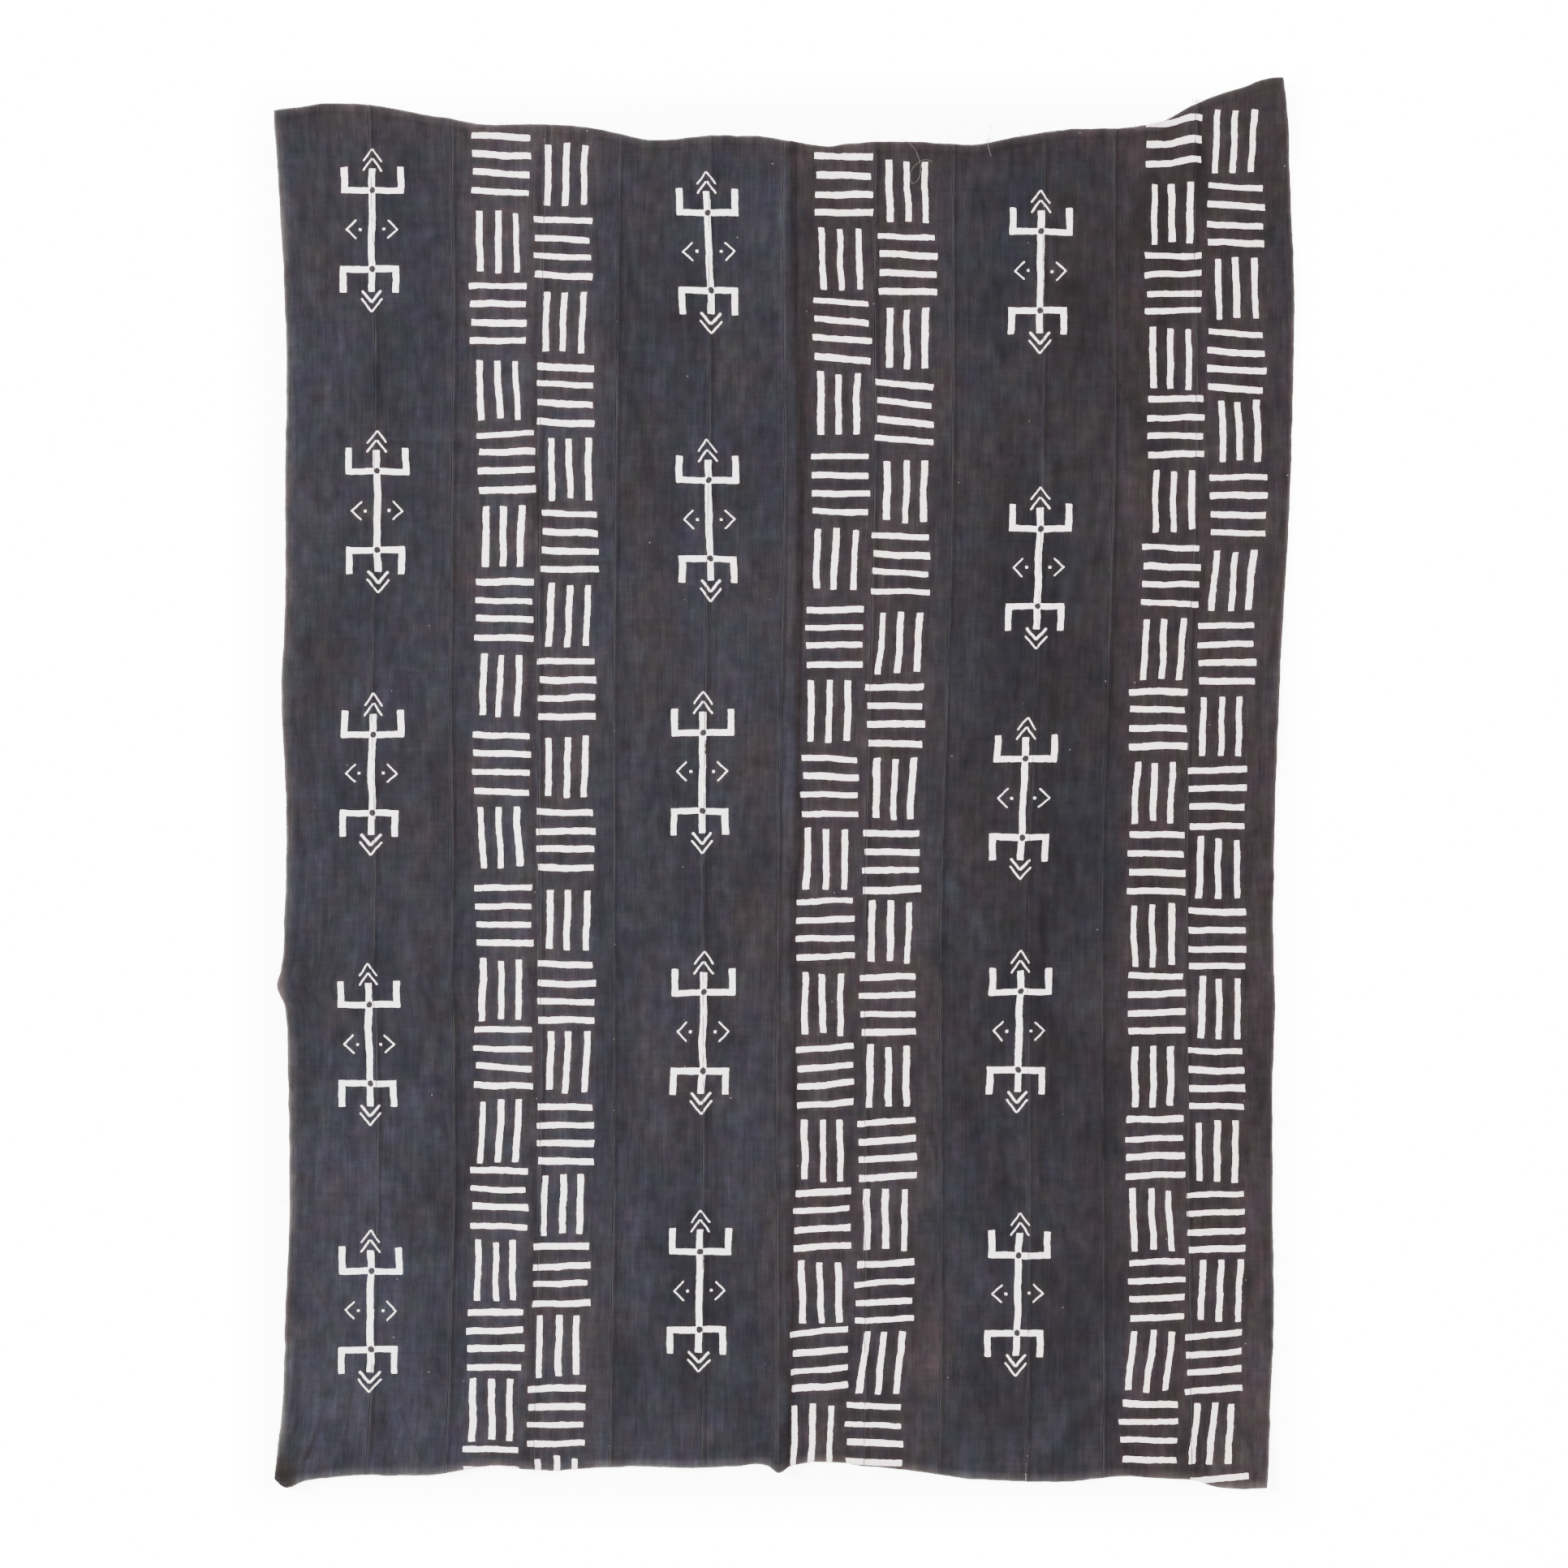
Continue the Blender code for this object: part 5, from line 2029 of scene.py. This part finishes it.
@dataclass(frozen=True)
class JoinStitches:
    """The sewing thread over every join, placed by Geometry Nodes."""

    cloth: LyingCloth
    spacing: float = 0.0072
    half_length: float = 0.0017
    half_slant: float = 0.0016
    thread_radius: float = 0.0003
    height: float = 0.0006
    sides: int = 4
    bends: int = 5
    seed: int = 11
    lift: float = 0.0012
    guide_step: float = 0.004
    guide_reach: float = 0.78
    end_room: float = 0.004
    turn: float = 0.35
    sizes: Row = (0.75, 1.2)

    def guides(self) -> bpy.types.Object:
        """Lines along the joins, on top of the cloth.

        Returns:
            An object of plain edges.
        """
        mesh = bpy.data.meshes.new("join_lines")
        shape = bmesh.new()
        for number in range(1, STRIP_COUNT):
            along = np.arange(-self.guide_reach, self.guide_reach, self.guide_step)
            across = self.cloth.edge(number, along)
            inside = along > self.cloth.hem(across, 2) + self.end_room
            inside &= along < self.cloth.hem(across, 1) - self.end_room
            across, along = across[inside], along[inside]
            up = self.cloth.height(across, along) + self.lift
            previous = None
            for point in zip(across, along, up):
                vertex = shape.verts.new(point)
                if previous is not None:
                    shape.edges.new((previous, vertex))
                previous = vertex
        shape.to_mesh(mesh)
        shape.free()
        return new_object("join_lines", mesh)

    def tree(self) -> Tree:
        """The node tree that places one slanting stitch every few millimetres.

        Returns:
            The tree.
        """
        tree = bpy.data.node_groups.new("stitched joins", "GeometryNodeTree")
        face = tree.interface
        face.new_socket("Geometry", in_out="INPUT", socket_type="NodeSocketGeometry")
        for label in ("Spacing", "Half Length", "Half Slant", "Thread Radius", "Height"):
            face.new_socket(label, in_out="INPUT", socket_type="NodeSocketFloat")
        face.new_socket("Seed", in_out="INPUT", socket_type="NodeSocketInt")
        face.new_socket("Thread", in_out="INPUT", socket_type="NodeSocketMaterial")
        face.new_socket("Geometry", in_out="OUTPUT", socket_type="NodeSocketGeometry")
        net = NodeMaker(tree)
        source = net.add("NodeGroupInput").outputs
        target = net.add("NodeGroupOutput").inputs
        curve = net.add("GeometryNodeMeshToCurve")
        net.feed(curve.inputs[0], source["Geometry"])
        points = net.add("GeometryNodeCurveToPoints", mode="LENGTH")
        net.feed(points.inputs["Curve"], curve.outputs[0])
        net.feed(points.inputs["Length"], source["Spacing"])
        drop = net.times(source["Height"], -1.0)
        left = net.times(source["Half Length"], -1.0)
        low = net.times(source["Half Slant"], -1.0)
        arc = net.add("GeometryNodeCurveQuadraticBezier")
        arc.inputs["Resolution"].default_value = self.bends
        net.feed(arc.inputs["Start"], net.combine(left, low, drop))
        net.feed(arc.inputs["Middle"], net.combine(0.0, 0.0, source["Height"]))
        end = net.combine(source["Half Length"], source["Half Slant"], drop)
        net.feed(arc.inputs["End"], end)
        ring = net.add("GeometryNodeCurvePrimitiveCircle")
        ring.inputs["Resolution"].default_value = self.sides
        net.feed(ring.inputs["Radius"], source["Thread Radius"])
        stitch = net.add("GeometryNodeCurveToMesh")
        net.feed(stitch.inputs["Curve"], arc.outputs[0])
        net.feed(stitch.inputs["Profile Curve"], ring.outputs[0])
        stitch.inputs["Fill Caps"].default_value = True
        turn = net.add("FunctionNodeRandomValue", data_type="FLOAT")
        net.feed(turn.inputs[2], -self.turn)
        net.feed(turn.inputs[3], self.turn)
        net.feed(turn.inputs["Seed"], source["Seed"])
        grow = net.add("FunctionNodeRandomValue", data_type="FLOAT")
        net.feed(grow.inputs[2], self.sizes[0])
        net.feed(grow.inputs[3], self.sizes[1])
        net.feed(grow.inputs["Seed"], net.plus(source["Seed"], 1.0))
        placed = net.add("GeometryNodeInstanceOnPoints")
        net.feed(placed.inputs["Points"], points.outputs[0])
        net.feed(placed.inputs["Instance"], stitch.outputs[0])
        net.feed(placed.inputs["Rotation"], net.combine(0.0, 0.0, turn.outputs[1]))
        size = net.combine(grow.outputs[1], grow.outputs[1], 1.0)
        net.feed(placed.inputs["Scale"], size)
        real = net.add("GeometryNodeRealizeInstances")
        net.feed(real.inputs[0], placed.outputs[0])
        dressed = net.add("GeometryNodeSetMaterial")
        net.feed(dressed.inputs["Geometry"], real.outputs[0])
        net.feed(dressed.inputs["Material"], source["Thread"])
        net.feed(target[0], dressed.outputs[0])
        return tree

    def build(self, thread: bpy.types.Material) -> bpy.types.Object:
        """Make the stitches.

        Args:
            thread: finish of the sewing thread.

        Returns:
            The finished piece.
        """
        guide = self.guides()
        modifier = guide.modifiers.new("stitches", "NODES")
        tree = self.tree()
        modifier.node_group = tree
        values = {
            "Spacing": self.spacing,
            "Half Length": self.half_length,
            "Half Slant": self.half_slant,
            "Thread Radius": self.thread_radius,
            "Height": self.height,
            "Seed": self.seed,
            "Thread": thread,
        }
        for item in tree.interface.items_tree:
            if item.in_out == "INPUT" and item.name in values:
                modifier[item.identifier] = values[item.name]
        ready = guide.evaluated_get(bpy.context.evaluated_depsgraph_get())
        mesh = bpy.data.meshes.new_from_object(ready)
        guide.modifiers.remove(modifier)
        bpy.data.objects.remove(guide, do_unlink=True)
        mesh.name = "join_stitches"
        return new_object("join_stitches", mesh)


@dataclass(frozen=True)
class LooseThreads:
    """Thread ends and frayed fibres that have come away from the hems."""

    cloth: LyingCloth
    radius: float = 0.00028
    sides: int = 5
    lift: float = 0.003
    hump: float = 0.0012
    steps_a_point: int = 10
    seed: int = 31
    fibre_lift: float = 0.0012
    fibre_rise: float = 0.0012
    fibre_points: int = 6
    fibre_bend: float = 0.6
    root_spread: tuple[float, float] = (0.01, 0.002)
    # Least and added share of a fibre's length and of its thickness
    length_shares: tuple[float, float] = (0.5, 0.7)
    radius_shares: tuple[float, float] = (0.45, 0.4)
    # Points of each thread end: across, along
    ends: tuple[tuple[tuple[float, float], ...], ...] = (
        (
            (0.129, 0.718), (0.14, 0.713), (0.1475, 0.703), (0.152, 0.688),
            (0.15, 0.674), (0.143, 0.669), (0.14, 0.677), (0.145, 0.688),
            (0.156, 0.695), (0.166, 0.693),
        ),
        ((0.226, 0.718), (0.2275, 0.71), (0.2295, 0.703), (0.231, 0.699)),
        ((0.2275, 0.7165), (0.2285, 0.7245), (0.2305, 0.73), (0.2285, 0.7355)),
    )
    # Tufts: across, along, direction in degrees, spread in degrees, length, fibres
    tufts: Rows = (
        (-0.313, 0.734, 105.0, 40.0, 0.0055, 5),
        (0.229, 0.715, 75.0, 40.0, 0.008, 5),
        (0.256, 0.7205, 25.0, 50.0, 0.006, 6),
        (0.268, 0.7225, 165.0, 40.0, 0.005, 5),
        (0.378, 0.729, 20.0, 50.0, 0.007, 8),
        (0.393, 0.731, 160.0, 50.0, 0.0065, 8),
        (0.41, 0.7345, 30.0, 40.0, 0.008, 8),
        (0.43, 0.741, 50.0, 40.0, 0.006, 6),
        (0.459, 0.758, 60.0, 60.0, 0.0065, 9),
        (0.466, 0.76, 150.0, 50.0, 0.005, 6),
        (-0.5545, -0.465, 165.0, 60.0, 0.005, 5),
        (-0.56, -0.777, 235.0, 60.0, 0.0035, 8),
        (-0.55, -0.781, 285.0, 60.0, 0.0035, 8),
    )

    def tube(self, shape: bmesh.types.BMesh, path: list[Vector], radius: float) -> None:
        """Add a closed round thread along a path.

        Args:
            shape: mesh to add to.
            path: points along the thread.
            radius: radius of the thread.
        """
        rings = []
        for index, point in enumerate(path):
            before = path[max(index - 1, 0)]
            after = path[min(index + 1, len(path) - 1)]
            ahead = (after - before).normalized()
            side = ahead.cross(Vector((0.0, 0.0, 1.0))).normalized()
            top = side.cross(ahead)
            ring = []
            for step in range(self.sides):
                angle = 2 * math.pi * step / self.sides
                out = side * math.cos(angle) + top * math.sin(angle)
                ring.append(shape.verts.new(point + radius * out))
            rings.append(ring)
        for low, high in zip(rings, rings[1:]):
            for step in range(self.sides):
                after = (step + 1) % self.sides
                shape.faces.new((low[step], low[after], high[after], high[step]))
        shape.faces.new(list(reversed(rings[0])))
        shape.faces.new(rings[-1])

    def resting_height(self, across: float, along: float, above: float) -> float:
        """Height at which a thread lies on the cloth, or just off its edge."""
        place_x, place_y = np.array([across]), np.array([along])
        return float(self.cloth.height(place_x, place_y)[0]) + above

    def smooth_path(self, points: Sequence[Sequence[float]], steps: int) -> list[Vector]:
        """A smooth path over the cloth.

        Args:
            points: places across and along that it goes through.
            steps: how many points it has.

        Returns:
            Its points.
        """
        keys = [(float(index), *point) for index, point in enumerate(points)]
        places = np.linspace(0.0, len(points) - 1.0, steps)
        across = smooth_read(keys, places, 1)
        along = smooth_read(keys, places, 2)
        path = []
        for index, (place_x, place_y) in enumerate(zip(across, along)):
            hump = self.hump * math.sin(math.pi * index / (steps - 1)) ** 2
            up = self.resting_height(place_x, place_y, self.lift + hump)
            path.append(Vector((place_x, place_y, up)))
        return path

    def build(self, thread: bpy.types.Material) -> bpy.types.Object:
        """Make the loose threads and tufts.

        Args:
            thread: finish of the thread.

        Returns:
            The finished piece.
        """
        shape = bmesh.new()
        for points in self.ends:
            path = self.smooth_path(points, self.steps_a_point * len(points))
            self.tube(shape, path, self.radius)
        chance = np.random.RandomState(self.seed)
        for across, along, direction, spread, length, count in self.tufts:
            for _ in range(int(count)):
                angle = math.radians(direction + spread * (chance.rand() - 0.5))
                least, more = self.length_shares
                reach = length * (least + more * chance.rand())
                bend = self.fibre_bend * (chance.rand() - 0.5)
                start_x = across + self.root_spread[0] * (chance.rand() - 0.5)
                start_y = along + self.root_spread[1] * (chance.rand() - 0.5)
                rise = self.fibre_rise * chance.rand()
                path = []
                for share in np.linspace(0.0, 1.0, self.fibre_points):
                    place_x = start_x + reach * share * math.cos(angle + bend * share)
                    place_y = start_y + reach * share * math.sin(angle + bend * share)
                    above = self.fibre_lift + rise * share
                    up = self.resting_height(across, along, above)
                    path.append(Vector((place_x, place_y, up)))
                least, more = self.radius_shares
                self.tube(shape, path, self.radius * (least + more * chance.rand()))
        bmesh.ops.recalc_face_normals(shape, faces=list(shape.faces))
        mesh = bpy.data.meshes.new("loose_threads")
        shape.to_mesh(mesh)
        shape.free()
        mesh.shade_smooth()
        mesh.materials.append(thread)
        return new_object("loose_threads", mesh)


@dataclass(frozen=True)
class Studio:
    """Camera, floor and lights."""

    frame_width: float = 1.748
    camera_height: float = 4.2
    sensor: float = 36.0
    floor_drop: float = 0.0004
    floor_size: float = 14.0
    # Glow of the floor close beside the cloth and further out; the dimmer glow close by is a
    # painted shadow
    glow: tuple[float, float] = (7.0, 12.5)
    painted_shadow_shift: float = 0.016
    glow_half: tuple[float, float] = (0.545, 0.75)
    painted_shadow_reach: float = 0.075
    glow_round: float = 0.05
    glow_start: tuple[float, float] = (-0.04, -0.03)
    floor_noise: Row = (1.5, 2.0)
    floor_tones: Rows = ((0.955, 0.955, 0.955, 1.0), (0.965, 0.965, 0.965, 1.0))
    floor_roughness: float = 0.95
    surround: float = 1.32
    # Name, place, size and power of each light
    lamps: tuple = (
        ("key_light", (-5.0, 1.6, 3.0), 1.8, 1700.0),
        ("fill_light", (1.0, -0.8, 5.2), 4.0, 397.0),
    )

    def camera(self) -> None:
        """A camera straight above the middle of the cloth."""
        data = bpy.data.cameras.new("camera_above")
        data.sensor_width = self.sensor
        data.lens = self.sensor * self.camera_height / self.frame_width
        data.clip_end = 50.0
        camera = new_object("camera_above", data)
        camera.location = (0.0, 0.0, self.camera_height)
        bpy.context.scene.camera = camera

    def floor(self) -> None:
        """A pale glowing floor, its glow dimmed close around the cloth as a painted shadow."""
        mesh = bpy.data.meshes.new("studio_floor")
        shape = bmesh.new()
        bmesh.ops.create_grid(shape, x_segments=1, y_segments=1, size=0.5 * self.floor_size)
        shape.to_mesh(mesh)
        shape.free()
        floor = new_object("studio_floor", mesh)
        floor.location = (0.0, 0.0, -self.floor_drop)
        material, net, shader = new_material("pale_floor")
        place = net.add("ShaderNodeTexCoord").outputs["Object"]
        cloud = net.noise(place, *self.floor_noise)
        net.feed(shader["Base Color"], net.mix(cloud, *self.floor_tones))
        # Painted shadow: the glow is dimmed near a rounded box round the cloth, shifted left and
        # down, and is off under the cloth
        across, along, _ = net.split(place)
        across = net.plus(across, self.painted_shadow_shift)
        along = net.plus(along, self.painted_shadow_shift)
        off_x = net.minus(net.unsigned(across), self.glow_half[0])
        off_y = net.minus(net.unsigned(along), self.glow_half[1])
        away = net.math("SMOOTH_MAX", off_x, off_y, self.glow_round)
        glow = net.ramp(away, 0.0, self.painted_shadow_reach, *self.glow)
        glow = net.times(glow, net.ramp(away, *self.glow_start))
        net.feed(shader["Emission Color"], (1.0, 1.0, 1.0, 1.0))
        net.feed(shader["Emission Strength"], glow)
        net.feed(shader["Roughness"], self.floor_roughness)
        net.feed(shader["Specular IOR Level"], 0.0)
        mesh.materials.append(material)

    def lamp(self, name: str, place: Row, size: float, power: float) -> None:
        """A square soft light that looks at the middle of the cloth.

        Args:
            name: name of the light.
            place: where it stands.
            size: side of the square.
            power: its power.
        """
        data = bpy.data.lights.new(name, "AREA")
        data.shape = "SQUARE"
        data.size = size
        data.energy = power
        lamp = new_object(name, data)
        lamp.location = place
        lamp.rotation_euler = (-Vector(place)).to_track_quat("-Z", "Y").to_euler()

    def lights(self) -> None:
        """Soft light from the left and above, and an even pale surround."""
        for row in self.lamps:
            self.lamp(*row)
        world = bpy.data.worlds.new("pale_surround")
        world.use_nodes = True
        background = world.node_tree.nodes["Background"].inputs
        background["Color"].default_value = (1.0, 1.0, 1.0, 1.0)
        background["Strength"].default_value = self.surround
        bpy.context.scene.world = world

    def build(self) -> None:
        """Set up everything around the cloth."""
        self.camera()
        self.floor()
        self.lights()


def make_paint() -> Paint:
    """Build the shared node groups once.

    Returns:
        All of them by name.
    """
    strokes = PaintGroups()
    dye = DyeFinish()
    return Paint(
        box=strokes.box(),
        stroke=strokes.stroke(),
        hand=strokes.hand(),
        weave=WeaveFinish().group(),
        ground=dye.ground(),
        bare=dye.bare(),
    )


def main() -> None:
    """Build the cloth, dress it and declare every piece."""
    logging.basicConfig(level=logging.INFO, format="%(message)s")
    Studio().build()
    cloth = LyingCloth()
    marks = MarkLayout()
    paint = make_paint()
    cottons = {kind: CottonFinish(kind).material(paint, marks) for kind in StripKind}
    for number in range(1, STRIP_COUNT + 1):
        strip = WovenStrip(number, cloth, DyeWear(cloth), marks, BakeSheet())
        piece = strip.build(cottons[strip_kind(number)])
        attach(piece, ROOT)
        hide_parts("strip_%02d" % number)
        LOG.info("%s: %d faces", piece.name, len(piece.data.polygons))
    sewing = ThreadFinish("sewing_thread", (0.014, 0.013, 0.016, 1.0), (0.044, 0.041, 0.047, 1.0))
    fibre = ThreadFinish("loose_fibre", (0.022, 0.018, 0.016, 1.0), (0.088, 0.077, 0.065, 1.0))
    stitches = JoinStitches(cloth).build(sewing.material())
    threads = LooseThreads(cloth).build(fibre.material())
    for piece in (stitches, threads):
        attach(piece, ROOT)
        LOG.info("%s: %d faces", piece.name, len(piece.data.polygons))


if __name__ == "__main__":
    main()
